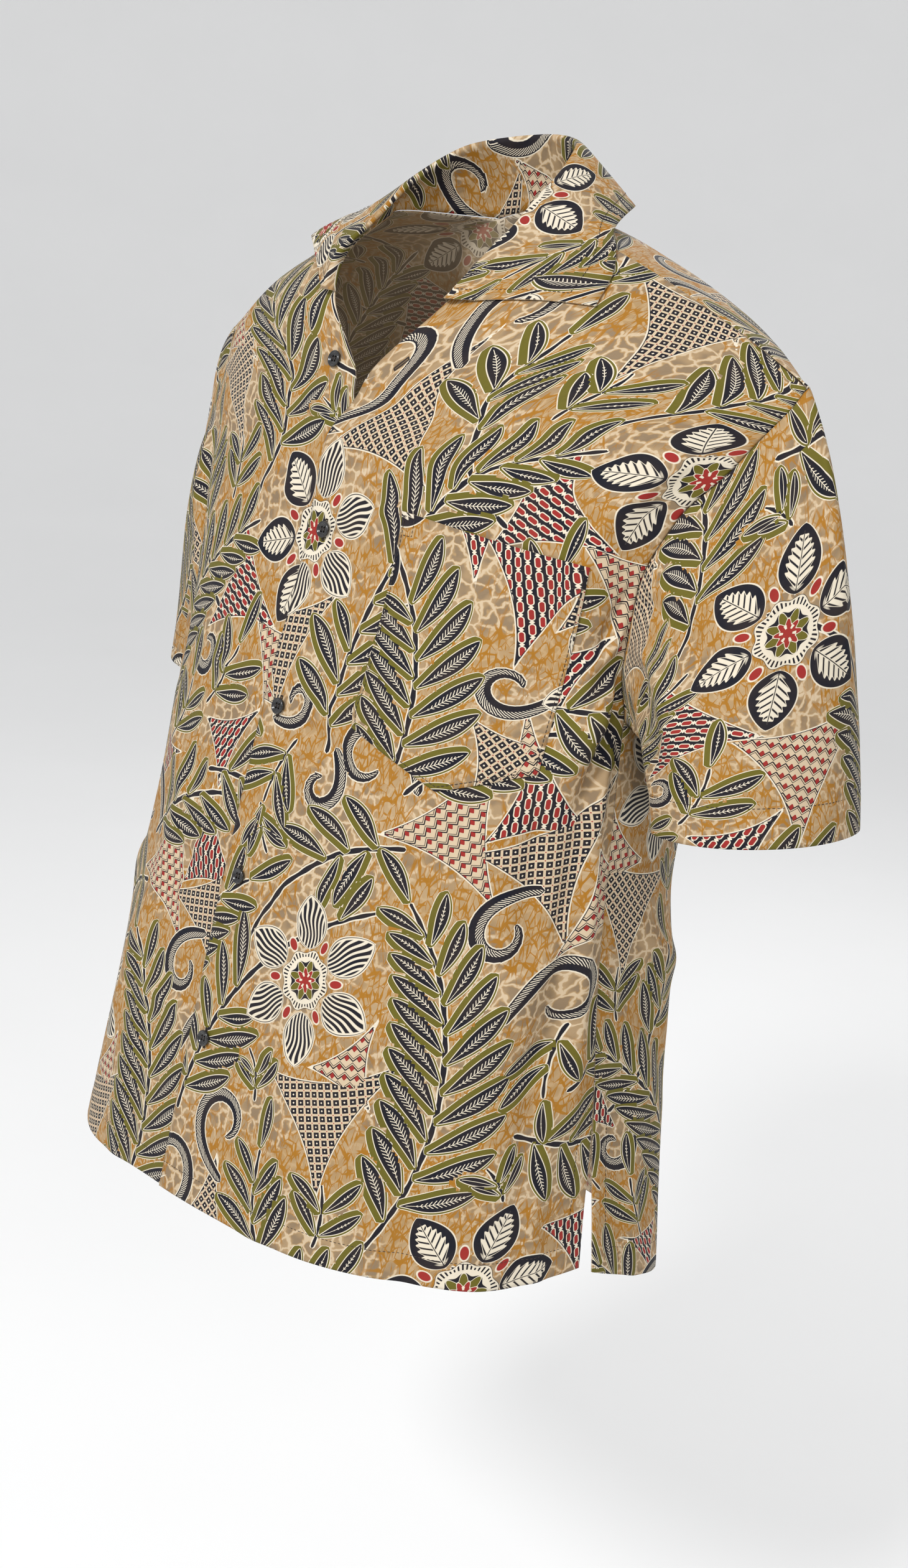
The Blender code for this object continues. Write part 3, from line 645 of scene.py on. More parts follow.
class Sheet:
    """An open sheet of quads with flat places on the printed cloth, made a thin closed shell."""

    def __init__(self):
        self.points, self.flat, self.relief, self.quads = [], [], [], []

    def add(self, points, flat, relief):
        """Add a grid of points. Returns the numbers of its points."""
        first = sum(len(p) for p in self.points)
        self.points.append(points.reshape(-1, 3))
        self.flat.append(flat.reshape(-1, 2))
        self.relief.append(relief.reshape(-1))
        return first + np.arange(points[..., 0].size).reshape(points.shape[:2])

    def lay(self, numbers, flip):
        corners = [numbers[:-1, :-1], numbers[1:, :-1], numbers[1:, 1:], numbers[:-1, 1:]]
        quads = np.stack(corners, -1).reshape(-1, 4)
        self.quads.append(quads[:, ::-1] if flip else quads)

    def close(self, name, origin, turn, seam):
        """Mesh of the shell. origin and turn say where on the printed cloth the piece was cut.

        seam gives the two rows of points that meet in a sleeve's seam.
        """
        points, flat = np.concatenate(self.points), np.concatenate(self.flat)
        relief, quads = np.concatenate(self.relief), np.concatenate(self.quads)
        a, b, c, d = (points[quads[:, k]] for k in range(4))
        facing = np.cross(c - a, d - b)
        normal = np.zeros_like(points)
        for k in range(4):
            np.add.at(normal, quads[:, k], facing)
        if seam is not None:
            joined = normal[seam[0]] + normal[seam[1]]
            normal[seam[0]], normal[seam[1]] = joined, joined
        normal = unit(normal)
        outer = points + normal * (CLOTH + relief)[:, None]
        inner = outer - normal * SHELL
        edges = np.stack([quads, np.roll(quads, -1, axis=1)], -1).reshape(-1, 2)
        key = np.sort(edges, axis=1) @ np.array([len(points), 1])
        _, back_to, count = np.unique(key, return_inverse=True, return_counts=True)
        rim = np.nonzero(count[back_to.ravel()] == 1)[0]
        start, end, more = edges[rim, 0], edges[rim, 1], len(points)
        rim_quads = np.stack([end, start, start + more, end + more], -1)
        faces = np.concatenate([quads, quads[:, ::-1] + more, rim_quads])
        owner = np.concatenate([np.arange(len(quads)), np.arange(len(quads)), rim // 4])
        inside = np.r_[np.zeros(len(quads)), np.ones(len(quads)), np.full(len(rim), 0.5)]
        mesh = bpy.data.meshes.new(name)
        fill_mesh(mesh, np.concatenate([outer, inner]) * MM, faces)
        spread = flat[faces % more]
        middle = flat[quads].mean(1)[owner]
        lay_bake_map(mesh, flat, spread, inside)
        turned = math.radians(turn)
        way = np.array([[math.cos(turned), math.sin(turned)], [-math.sin(turned), math.cos(turned)]])
        print_on(mesh, spread @ way + np.array(origin), middle @ way + np.array(origin), inside)
        return mesh


def fill_mesh(mesh, points, faces):
    mesh.vertices.add(len(points))
    mesh.vertices.foreach_set("co", points.astype(np.float32).ravel())
    mesh.loops.add(faces.size)
    mesh.loops.foreach_set("vertex_index", faces.astype(np.int32).ravel())
    mesh.polygons.add(len(faces))
    mesh.polygons.foreach_set("loop_start", np.arange(0, faces.size, faces.shape[1], dtype=np.int32))
    mesh.update(calc_edges=True)
    mesh.shade_smooth()


def lay_bake_map(mesh, flat, spread, inside):
    """Own place for every face on the baked picture: the outside on the left, the inside on the right."""
    low, high = flat.min(0), flat.max(0)
    at = (spread - low) / (high - low)
    at[..., 0] = 0.01 + 0.48 * at[..., 0] + 0.5 * (inside == 1)[:, None]
    at[..., 1] = 0.01 + 0.98 * at[..., 1]
    mesh.uv_layers.new(name="OFBake").data.foreach_set("uv", at.astype(np.float32).ravel())


def put_values(mesh, name, values):
    layer = mesh.attributes.new(name, "FLOAT_VECTOR", "CORNER")
    layer.data.foreach_set("vector", values.astype(np.float32).ravel())


def line_points(x, y, heading, length, turn, tighten=1.0):
    """Points of a drawn line that starts towards its heading and turns as it goes."""
    share = (np.arange(int(length / LINE_STEP)) + 0.5) / int(length / LINE_STEP)
    angle = np.radians(heading + turn * share ** tighten)
    steps = toward(angle) * LINE_STEP
    return np.concatenate([[[x, y]], np.array([x, y]) + np.cumsum(steps, 0)]), np.degrees(angle)


def wrapped(offset):
    return offset - np.round(offset / REPEAT) * REPEAT


class Print:
    """The drawing of one repeat: flowers and fronds, then patches and curls in the spaces between them."""

    def __init__(self):
        self.taken, self.leaves, self.stems, self.curls, self.patches = [], [], [], [], []
        for x, y, reach, _, _ in FLOWERS:
            self.take([[x, y]], reach - 3)
        for row in FRONDS:
            self.frond(*row)
        self.fill_spaces()

    def take(self, spots, radius):
        self.taken += [(spot[0], spot[1], radius) for spot in spots]

    def clearance(self, spots, taken=None):
        """Free distance round each spot, across the edges of the repeat too."""
        taken = np.array(self.taken if taken is None else taken)
        spots = np.array(spots, float)
        away = np.linalg.norm(wrapped(taken[None, :, :2] - spots[:, None]), axis=2) - taken[:, 2]
        return away.min(1)

    def segments(self, line, wide, thin):
        """Pieces of a line. Columns: x, y, angle, length so far, half-width at both ends, first, last."""
        step = np.diff(line, axis=0)
        share = np.arange(len(line)) / (len(line) - 1)
        width = wide * (thin + (1 - thin) * np.sin(np.pi * np.clip(share * 0.9 + 0.1, 0, 1)) ** 0.6)
        return [
            (*line[k], math.atan2(*step[k][::-1]), k * LINE_STEP, width[k], width[k + 1],
             k == 0, k == len(step) - 1)
            for k in range(len(step))
        ]

    def frond(self, x, y, heading, length, turn, leaf):
        line, angles = line_points(x, y, heading, length, turn)
        placed = []
        last = len(line) - 1
        for run in np.arange(22, length - 10, LEAF_SPACING):
            share = run / length
            size = leaf * (0.72 + 0.40 * math.sin(math.pi * min(share * 1.1 + 0.1, 1)) ** 0.8)
            lean = LEAF_ANGLE - 20 * share
            for side in (1, -1):
                k = min(int((run + side * 3) / LINE_STEP), last - 1)
                placed += self.leaf(line[k], angles[k] + side * lean, size)
        placed += self.leaf(line[last], angles[-1], leaf * 0.8)
        self.stems += self.segments(line, 1.7, 0.6)
        self.take(list(line), 2.5)
        for spots, radius in placed:
            self.take(spots, radius)

    def leaf(self, base, angle, size):
        way = toward(math.radians(angle))
        for scale in (1.0, 0.82, 0.64):
            length = size * scale
            spots = [base + way * length * at for at in (0.35, 0.6, 0.85)]
            if self.clearance(spots).min() > length * 0.12:
                self.leaves.append((*(base + way * 2.6), math.radians(angle), length))
                return [(spots, length * 0.15)]
        return []

    def fill_spaces(self):
        """Set a patch, a sprig or a curl in turn in the widest space that is left."""
        x, y = np.meshgrid(np.arange(0, REPEAT[0], 7), np.arange(0, REPEAT[1], 7))
        spots = np.stack([x.ravel(), y.ravel()], -1)
        room = self.clearance(spots)
        for n in range(SPACES_MOST):
            k = int(np.argmax(room))
            if room[k] < SPACE_LIMITS[0]:
                break
            before = len(self.taken)
            radius = min(room[k], SPACE_LIMITS[1])
            (self.patch, self.sprig, self.patch, self.curl)[n % 4](spots[k], radius, n)
            room = np.minimum(room, self.clearance(spots, self.taken[before:]))

    def patch(self, middle, radius, n):
        """A hollow-sided triangle, turned so that its corners reach into free places."""
        best = None
        for turn in range(0, 120, 15):
            angles = np.radians(turn + np.array([0, 112, 236]))
            reach = radius * PATCH_REACH * np.array([1.4, 0.85, 1.0])
            corners = middle + toward(angles) * reach[:, None]
            score = self.clearance(middle + 0.8 * (corners - middle)).sum()
            if best is None or score > best[0]:
                best = (score, corners)
        corners = best[1]
        self.patches.append((*corners.ravel(), n % 3))
        self.take([middle], radius * 0.8)
        self.take(list(middle + 0.6 * (corners - middle)), radius * 0.35)

    def sprig(self, middle, radius, n):
        """A short stem with a few leaves."""
        heading = 47.0 * n
        way = toward(math.radians(heading))
        line, angles = line_points(*(middle - way * radius * 1.1), heading, max(radius * 2.2, 24), 30)
        for share in (0.25, 0.6):
            k = int(share * (len(line) - 2))
            for side in (1, -1):
                self.leaf(line[k], angles[k] + side * 46, max(radius * 1.5, 24))
        self.leaf(line[-1], angles[-1], max(radius * 1.3, 22))
        self.stems += self.segments(line, 1.1, 0.6)
        self.take([middle], radius * 1.1)

    def curl(self, middle, radius, n):
        side = 1 if n % 8 == 3 else -1
        start = middle + np.array([-0.8, -0.5 * side]) * radius
        line, _ = line_points(*start, 10.0 * n, radius * 5.2, side * CURL_TURN, CURL_TIGHTEN)
        line = line + middle - line.mean(0)
        self.curls += self.segments(line, min(5.0, radius * 0.32), 0.22)
        self.take(list(line[::2]), 5)


def over_repeats(items, low, high, margin=70, places=1):
    """Copies of the repeat's items that fall near a piece's box. An item may start with several places."""
    items = np.array(items, float)
    first, last = np.floor((low - margin) / REPEAT) - 1, np.floor((high + margin) / REPEAT) + 1
    copies = []
    for i in np.arange(first[0], last[0] + 1):
        for j in np.arange(first[1], last[1] + 1):
            moved = items.copy()
            moved[:, :2 * places] += np.tile(np.array([i, j]) * REPEAT, places)
            copies.append(moved)
    copies = np.concatenate(copies)
    near = (copies[:, :2] > low - margin).all(1) & (copies[:, :2] < high + margin).all(1)
    return copies[near]


def nearest(middle, spots, owners):
    tree = KDTree(len(spots))
    for spot, owner in zip(spots, owners):
        tree.insert((spot[0], spot[1], 0), int(owner))
    tree.balance()
    return np.array([tree.find((p[0], p[1], 0))[1] for p in middle])


def local(spread, item):
    """Places of corners seen from an item: along its direction, and across."""
    dx, dy = spread[..., 0] - item[:, 0, None], spread[..., 1] - item[:, 1, None]
    c, s = np.cos(item[:, 2, None]), np.sin(item[:, 2, None])
    return dx * c + dy * s, dy * c - dx * s


def line_values(spread, middle, segments):
    """Per corner: distance from the line, length along it, half-width there (below 0 past its ends)."""
    spots = segments[:, :2] + toward(segments[:, 2]) * LINE_STEP / 2
    item = segments[nearest(middle, spots, np.arange(len(spots)))]
    along, across = local(spread, item)
    share = along / LINE_STEP
    width = item[:, 4, None] + (item[:, 5, None] - item[:, 4, None]) * share
    beyond = np.maximum(-along, 0) * item[:, 6, None] + np.maximum(along - LINE_STEP, 0) * item[:, 7, None]
    return np.stack([across, item[:, 3, None] + along, width - 1.2 * beyond], -1)


def leaf_values(spread, middle, leaves):
    way, at = toward(leaves[:, 2]), (0.12, 0.3, 0.5, 0.7, 0.88)
    spots = np.concatenate([leaves[:, :2] + way * leaves[:, 3:4] * share for share in at])
    item = leaves[nearest(middle, spots, np.tile(np.arange(len(leaves)), len(at)))]
    along, across = local(spread, item)
    return np.stack([along, across, item[:, 3, None] + 0 * along], -1)


def patch_edge(spread, corners):
    """Distance inside a patch from its nearest side. The sides are hollow."""
    turn = np.cross(corners[1] - corners[0], corners[2] - corners[0])
    edge = np.full(spread.shape[:-1], 1e3)
    for k in range(3):
        start, end = corners[k], corners[(k + 1) % 3]
        length = np.linalg.norm(end - start)
        way = (end - start) / length
        offset = spread - start
        share = np.clip(offset @ way / length, 0, 1)
        inward = np.sign(turn) * (way[0] * offset[..., 1] - way[1] * offset[..., 0])
        edge = np.minimum(edge, inward - 4 * PATCH_HOLLOW * length * share * (1 - share) * 0.55)
    return edge


def patch_values(spread, patches):
    """Per corner: place within the patch that covers it most, and distance from its edge. Also its kind."""
    values = np.full(spread.shape[:-1] + (3,), -50.0)
    kind = np.zeros(len(spread))
    for row in patches:
        corners = row[:6].reshape(3, 2)
        near = np.nonzero(np.abs(spread[:, 0] - corners.mean(0)).max(1) < 125)[0]
        edge = patch_edge(spread[near], corners)
        better = edge.max(1) > values[near, :, 2].max(1)
        here = near[better]
        x, y = local(spread[here], np.array([[*corners[0], row[0] % 3]]))
        values[here] = np.stack([x, y, edge[better]], -1)
        kind[here] = row[6]
    return values, kind


def flower_values(spread, middle, low, high):
    flowers = over_repeats(FLOWERS, low, high)
    away = np.linalg.norm(middle[:, None] - flowers[None, :, :2], axis=2) / flowers[None, :, 2]
    item = flowers[np.argmin(away, 1)]
    turned = item.copy()
    turned[:, 2] = np.radians(item[:, 3])
    x, y = local(spread, turned)
    size = item[:, 2, None]
    return np.stack([x / size, y / size, 0 * x + size], -1), item[:, 4]


def print_on(mesh, spread, middle, inside):
    """Store the drawing that falls on each face, as seen from its nearest motif."""
    low, high = middle.min(0), middle.max(0)
    leaves = over_repeats(DRAWING.leaves, low, high)
    patches, patch_kind = patch_values(spread, over_repeats(DRAWING.patches, low, high, 130, 3))
    flowers, flower_kind = flower_values(spread, middle, low, high)
    put_values(mesh, "leaf", leaf_values(spread, middle, leaves))
    put_values(mesh, "stem", line_values(spread, middle, over_repeats(DRAWING.stems, low, high)))
    put_values(mesh, "curl", line_values(spread, middle, over_repeats(DRAWING.curls, low, high)))
    put_values(mesh, "patch", patches)
    put_values(mesh, "flower", flowers)
    ones = np.ones(spread.shape[:-1])
    kinds = [patch_kind[:, None] * ones, flower_kind[:, None] * ones, inside[:, None] * ones]
    put_values(mesh, "kinds", np.stack(kinds, -1))
    put_values(mesh, "cloth", np.concatenate([spread, 0 * spread[..., :1]], -1))


class Value:
    """A number socket of a shader. Its operators add Math nodes."""

    def __init__(self, tree, socket):
        self.tree, self.socket = tree, socket

    def math(self, operation, *others, clamp=False):
        settings = {"operation": operation, "use_clamp": clamp}
        return self.tree.add("ShaderNodeMath", settings, dict(enumerate((self, *others))))

    def __add__(self, other):
        return self.math("ADD", other)

    def __radd__(self, other):
        return self.math("ADD", other)

    def __sub__(self, other):
        return self.math("SUBTRACT", other)

    def __rsub__(self, other):
        return (self * -1) + other

    def __mul__(self, other):
        return self.math("MULTIPLY", other)

    def __rmul__(self, other):
        return self.math("MULTIPLY", other)

    def __truediv__(self, other):
        return self.math("DIVIDE", other)

    def __pow__(self, other):
        return self * self if other == 2 else self.math("POWER", other)

    def __abs__(self):
        return self.math("ABSOLUTE")

    def over(self, other):
        return self.math("MAXIMUM", other)

    def under(self, other):
        return self.math("MINIMUM", other)

    def sin(self):
        return self.math("SINE")

    def part(self):
        return self.math("FRACT")

    def root(self):
        return self.math("SQRT")

    def step(self, edge=0.0, soft=0.25):
        """1 where the value is above the edge, with a soft step that wide."""
        return ((self - edge) / soft).math("ADD", 0.5, clamp=True)

    def crisp(self):
        """The same for motifs measured in shares of their size."""
        return self.step(0, 0.006)


class Tree:
    """Node tree of one material."""

    def __init__(self, name):
        self.material = bpy.data.materials.new(name)
        self.material.use_nodes = True
        self.nodes = self.material.node_tree.nodes
        self.nodes.clear()

    def add(self, kind, settings=None, inputs=None, output=0):
        """Add a node with its settings, then its sockets' values or links. Returns an output."""
        node = self.nodes.new(kind)
        for name, value in (settings or {}).items():
            setattr(node, name, value)
        for key, value in (inputs or {}).items():
            if isinstance(value, Value):
                self.material.node_tree.links.new(value.socket, node.inputs[key])
            else:
                node.inputs[key].default_value = value
        return Value(self, node.outputs[output]) if node.outputs else None

    def mix(self, low, high, share):
        """Mix of two inks, each a name or a colour that was made before."""
        low, high = ((*INK[ink], 1.0) if isinstance(ink, str) else ink for ink in (low, high))
        return self.add("ShaderNodeMix", {"data_type": "RGBA"}, {0: share, 6: low, 7: high}, 2)

    def paint(self, ground, *layers):
        """Inks laid over a ground in turn. Columns of a layer: ink, and the share that it covers."""
        for ink, share in layers:
            ground = self.mix(ground, ink, share)
        return ground

    def stored(self, name):
        return self.add("ShaderNodeAttribute", {"attribute_name": name}, output=1)

    def triple(self, name):
        """The three numbers of a stored value."""
        return self.parts(self.stored(name))

    def spot(self):
        """Place on the piece itself."""
        return self.add("ShaderNodeTexCoord", output=3)

    def parts(self, vector):
        split = self.add("ShaderNodeSeparateXYZ", None, {0: vector}).socket.node
        return [Value(self, socket) for socket in split.outputs]

    def noise(self, at, scale, detail=2.0, rough=0.5, distort=0.0):
        inputs = {"Vector": at, "Scale": scale, "Detail": detail, "Roughness": rough, "Distortion": distort}
        return self.add("ShaderNodeTexNoise", {"noise_dimensions": "3D"}, inputs)

    def cells(self, at, scale):
        """Distance from the edges of irregular flat cells."""
        settings = {"feature": "DISTANCE_TO_EDGE", "voronoi_dimensions": "2D"}
        return self.add("ShaderNodeTexVoronoi", settings, {"Vector": at, "Scale": scale, "Randomness": 1.0})

    def bump(self, height, strength, distance, normal=None):
        inputs = {"Height": height, "Strength": strength, "Distance": distance}
        if normal is not None:
            inputs["Normal"] = normal
        return self.add("ShaderNodeBump", None, inputs)

    def finish(self, colour, roughness, normal, **constants):
        inputs = {"Base Color": colour, "Roughness": roughness, "Normal": normal}
        inputs.update({name.replace("_", " "): value for name, value in constants.items()})
        surface = self.add("ShaderNodeBsdfPrincipled", None, inputs)
        self.add("ShaderNodeOutputMaterial", None, {"Surface": surface})
        return self.material


def ground_ink(tree, cloth, cluster, tint):
    """Cracked ground: tan, with taupe pebbles edged paler and clusters of fine mustard lines."""
    ground = tree.mix("ground", "ground_warm", tint.step(0.5, 0.3))
    ripple = tree.add("ShaderNodeTexNoise", {"noise_dimensions": "2D"}, {"Vector": cloth, "Scale": 0.12}, 1)
    bending = {"operation": "MULTIPLY_ADD"}
    bent = tree.add("ShaderNodeVectorMath", bending, {0: ripple, 1: (8, 8, 0), 2: cloth})
    edge = tree.cells(bent, 0.105)
    dark = (edge - 0.10).step(0.05, 0.10) * (tint.step(0.47, 0.10) * 0.6 + 0.4)
    pebble = tree.paint(ground, ("pebble", dark), ("pale", (0.085 - edge).step(0.0, 0.05) * 0.85))
    ground = tree.mix(ground, pebble, 1 - cluster.step(0.52, 0.08) * 0.8)
    broken = tree.noise(cloth, 0.15, 1.0)
    for turn, scale, wide, level in CRACKLE:
        shape = {"Rotation": (0, 0, turn), "Scale": (1.0, 0.45, 1.0)}
        shards = tree.add("ShaderNodeMapping", {"vector_type": "POINT"}, {"Vector": cloth, **shape})
        line = ((broken - 0.32) * 4 * wide - tree.cells(shards, scale)).step(0.0, 0.035)
        ground = tree.mix(ground, "mustard", line * cluster.step(level, 0.10) * 0.95)
    return ground


def lattice_fill(tree, x, y):
    """Lattice of dark squares with a pale middle, and red dots between."""
    u, v = (x / 5.4).part() - 0.5, (y / 5.4).part() - 0.5
    diamond = abs(u) + abs(v)
    return tree.paint("pale", ("navy", (0.36 - abs(u).over(abs(v))).step(0, 0.05)),
                      ("cream", (0.13 - diamond).step(0, 0.05)), ("red", (diamond - 0.90).step(0, 0.05)))


def bead_fill(tree, x, y):
    """Red capsules with a pale edge, and pale stars, on a dark ground."""
    row = (y / 6.0).part() - 0.5
    cell = (x / 10.0 + (y / 6.0).math("FLOOR") * 0.5).part() - 0.5
    capsule = ((abs(cell) * 10.0 - 1.9).over(0.0) ** 2 + (row * 6.0) ** 2).root()
    star = (0.5 - abs(cell)) * 10.0 + abs(row) * 6.0
    return tree.paint("navy", ("cream", (1.6 - star).step(0, 0.3)), ("cream", (2.1 - capsule).step()),
                      ("red", (1.45 - capsule).step()))


def scale_fill(tree, x, y):
    """Rows of scales: red lozenges under dark arches on a pale ground."""
    row = (y / 6.4).part() - 0.5
    cell = (x / 8.0 + (y / 6.4).math("FLOOR") * 0.5).part() - 0.5
    arch, lozenge = abs(cell) * 1.15 + row, abs(cell) * 1.7 + abs(row + 0.20)
    return tree.paint("pale", ("navy", (0.085 - abs(arch - 0.12)).step(0, 0.04)),
                      ("navy", (0.045 - abs(arch - 0.38)).step(0, 0.03)),
                      ("red", (0.36 - lozenge).step(0, 0.04)))


def patch_ink(tree, ground):
    """Hollow-sided patches with one of three fills, edged dark and pale."""
    x, y, edge = tree.triple("patch")
    kind = tree.triple("kinds")[0]
    fill = tree.paint(lattice_fill(tree, x, y), (bead_fill(tree, x, y), kind.step(0.5, 0.1)),
                      (scale_fill(tree, x, y), kind.step(1.5, 0.1)))
    return tree.paint(ground, ("cream", edge.step()), ("navy", edge.step(0.8)), (fill, edge.step(1.3)))


def curl_ink(tree, ground):
    """Hooked curls: a dark band with fine pale barbs, edged pale."""
    across, run, wide = tree.triple("curl")
    inside = wide - abs(across)
    barb = ((run + across * 1.4) / 2.2).part().step(0.62, 0.2)
    band = tree.mix("navy", "cream", barb * (inside - 0.9).step() * (across + 0.6).step(0, 0.4))
    band = tree.mix("cream", band, inside.step())
    return tree.mix(ground, band, (inside + 0.8).step() * wide.step(0.1, 0.1))


def stem_ink(tree, ground):
    """Dark stems with knots, edged pale."""
    across, run, wide = tree.triple("stem")
    knot = (run / 14.5 * 2 * math.pi).sin() * 0.22
    inside = wide + knot - abs(across)
    line = tree.mix("cream", "navy", inside.step())
    return tree.mix(ground, line, (inside + 0.9).step() * wide.step(0.1, 0.1))


def leaf_ink(tree, ground):
    """Leaves: dark, with a pale barbed vein, a pale edge and an olive halo edged pale."""
    along, across, length = tree.triple("leaf")
    share = (along / length).over(0.0).under(1.0)
    across = across + length * (share - share * share) * 0.16
    swell = ((share ** 1.25) * math.pi).sin().over(0.0001) ** 0.76
    past = (0 - along).over(along - length).over(0.0)
    body = length * 0.106 * swell - abs(across) - past * 1.6
    halo = across.step(0.0, 4.0) * 2.7 + 1.1
    vein = ((along - abs(across) * 1.1) / 2.7).part()
    barb = (0.27 - vein).step(0, 0.12) * (body - 2.5).step(0, 0.2)
    rib = (0.16 - abs(across)).step(0, 0.12)
    mark = barb.over(rib) * share.step(0.08, 0.02) * (0.93 - share).step(0, 0.02)
    return tree.paint(ground, ("cream", (body + 1.05 + halo).step(0, 0.2)),
                      ("olive", (body + 0.55 + halo).step(0, 0.2)),
                      ("cream", (body + 0.55).step(0, 0.2)), ("navy", body.step()), ("cream", mark))


def dark_petal(tree, across, along, share, petal):
    """Dark petal round a pale feather with dark veins."""
    barb = along - abs(across) * 0.8
    lobe = ((barb * 12.5 * 2 * math.pi).sin() + 1) * 0.018
    feather = petal - 0.070 - lobe - (share - 0.8).over(0.0) * 0.2
    lines = (0.15 - abs((barb * 12.5).part() - 0.5)).step(0, 0.10) * (abs(across) - 0.012).crisp()
    lines = lines * (feather - 0.012).step(0, 0.01)
    rib = (0.005 - abs(across)).step(0, 0.005)
    return tree.paint("navy", ("cream", feather.step(0, 0.008)), ("navy", lines.over(rib)))


def pale_petal(tree, across, share, petal):
    """Pale petal with dark flames along it."""
    flame = across * (1.35 - share * 0.75) / 0.060 + (share * 9).sin() * 0.22
    sliver = (abs(flame.part() - 0.5) - 0.29).step(0, 0.1)
    return tree.mix("cream", "navy", (1 - sliver) * (petal - 0.022 - share * 0.02).step(0, 0.01))


def flower_ink(tree, ground):
    """Six petals round a scalloped ring, a star and a red heart, with red buds between the petals."""
    x, y, _ = tree.triple("flower")
    kind = tree.triple("kinds")[1]
    r, angle = (x * x + y * y).root(), y.math("ARCTAN2", x)
    sector = (angle / (math.pi / 3) + 6.5).part() - 0.5
    turn = sector * (math.pi / 3)
    along, across = r * turn.math("COSINE"), r * turn.sin()
    share = ((along - 0.37) / 0.63).over(0.0).under(1.0)
    past = (0.37 - along).over(along - 1.0).over(0.0)
    swell = ((share ** 0.85) * math.pi).sin().over(0.0001) ** 0.7
    petal = swell * 0.235 - abs(across) - past
    inner = tree.mix(dark_petal(tree, across, along, share, petal), pale_petal(tree, across, share, petal),
                     kind.step(0.5, 0.1))
    beside = (0.5 - abs(sector)) * (math.pi / 3)
    away = (r * beside.math("COSINE") - 0.46) * 0.6
    bud = 0.045 - (away ** 2 + (r * beside.sin()) ** 2).root()
    ink = tree.paint(ground, ("cream", (petal + 0.014).crisp()), ("navy", petal.crisp()),
                     (inner, (petal - 0.010).crisp()), ("cream", (bud + 0.012).crisp()),
                     ("red", bud.crisp()))
    wave = (angle * 8).math("COSINE")
    ring = 0.335 + wave * 0.022 - r
    hatch = (angle * 44).sin().step(0.2, 0.4) * (r - 0.275).crisp() * (ring - 0.012).crisp()
    star = 0.185 + wave * 0.05 - r
    core = 0.115 - wave * 0.03 - r
    dots = (abs((angle * 3).sin()) - 0.86).step(0, 0.08) * (0.02 - abs(r - 0.07)).step(0, 0.005)
    heart = tree.mix("navy", tree.mix("cream", "navy", hatch), (r - 0.225 - wave * 0.018).crisp())
    heart = tree.paint(heart, ("cream", (star + 0.012).crisp()), ("olive", star.crisp()),
                       ("cream", (core + 0.012).crisp()), ("red", core.crisp()), ("cream", dots))
    return tree.paint(ink, ("navy", (ring + 0.010).crisp()), ("cream", (ring + 0.004).crisp()),
                      (heart, (ring - 0.006).crisp()))


def weave_normal(tree, cloth):
    """Plain weave on slight crumpling."""
    x, y, _ = tree.parts(cloth)
    weave = (x * (2 * math.pi / THREADS)).sin() * (y * (2 * math.pi / THREADS)).sin()
    crumple = tree.noise(cloth, 0.045, 2.0, 0.5, 0.5)
    return tree.bump(weave, 0.3, 0.00010, tree.bump(crumple, 0.7, 0.004))


def cloth_material(name):
    tree = Tree(name)
    cloth = tree.stored("cloth")
    inside = tree.triple("kinds")[2]
    cluster, tint = tree.noise(cloth, 0.015, 2.0), tree.noise(cloth, 0.045, 2.0)
    ink = ground_ink(tree, cloth, cluster, tint)
    for layer in (patch_ink, curl_ink, stem_ink, leaf_ink, flower_ink):
        ink = layer(tree, ink)
    # The print shows weaker on the inside
    ink = tree.paint(ink, ("pale", inside.step(0.25, 0.1) * 0.40), ("worn", tint.step(0.55, 0.5) * 0.10))
    return tree.finish(ink, tint * 0.16 + 0.66, weave_normal(tree, cloth), Sheen_Weight=0.05,
                       Sheen_Roughness=0.4, Specular_IOR_Level=0.18)


def plastic_material(name):
    tree = Tree(name)
    spot = tree.spot()
    scuff = tree.noise(spot, 900.0, 2.0)
    colour = tree.mix("plastic", "plastic_dust", tree.noise(spot, 260.0, 3.0).step(0.55, 0.3) * 0.6)
    return tree.finish(colour, scuff * 0.14 + 0.16, tree.bump(scuff, 0.05, 0.0001), Coat_Weight=0.35)


def thread_material(name):
    tree = Tree(name)
    settings, inputs = {"bands_direction": "DIAGONAL"}, {"Vector": tree.spot(), "Scale": 900.0}
    twist = tree.add("ShaderNodeTexWave", settings, inputs)
    colour = tree.mix("thread", "thread_lit", twist)
    return tree.finish(colour, twist * 0.2 + 0.6, tree.bump(twist, 0.4, 0.00008))


def floor_material(name):
    tree = Tree(name)
    grain = tree.noise(tree.spot(), 3.0, 3.0)
    colour = tree.mix("floor", "floor_grain", grain)
    return tree.finish(colour, grain * 0.1 + 0.75, tree.bump(grain, 0.02, 0.001))


def new_object(name, data):
    made = bpy.data.objects.new(name, data)
    bpy.context.scene.collection.objects.link(made)
    return made


def show(name, mesh, mat, slot, *nodes):
    mesh.materials.clear()
    mesh.materials.append(mat)
    piece = new_object(name, mesh)
    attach(piece, "root")
    if nodes:
        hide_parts(*nodes)
    return piece


def front_grid(g, up):
    lap = lap_share(up)
    return (outer_share(plain_front, up) + lap) * g - lap


def faces_of(size, step):
    return [round(length / step) for length in size]


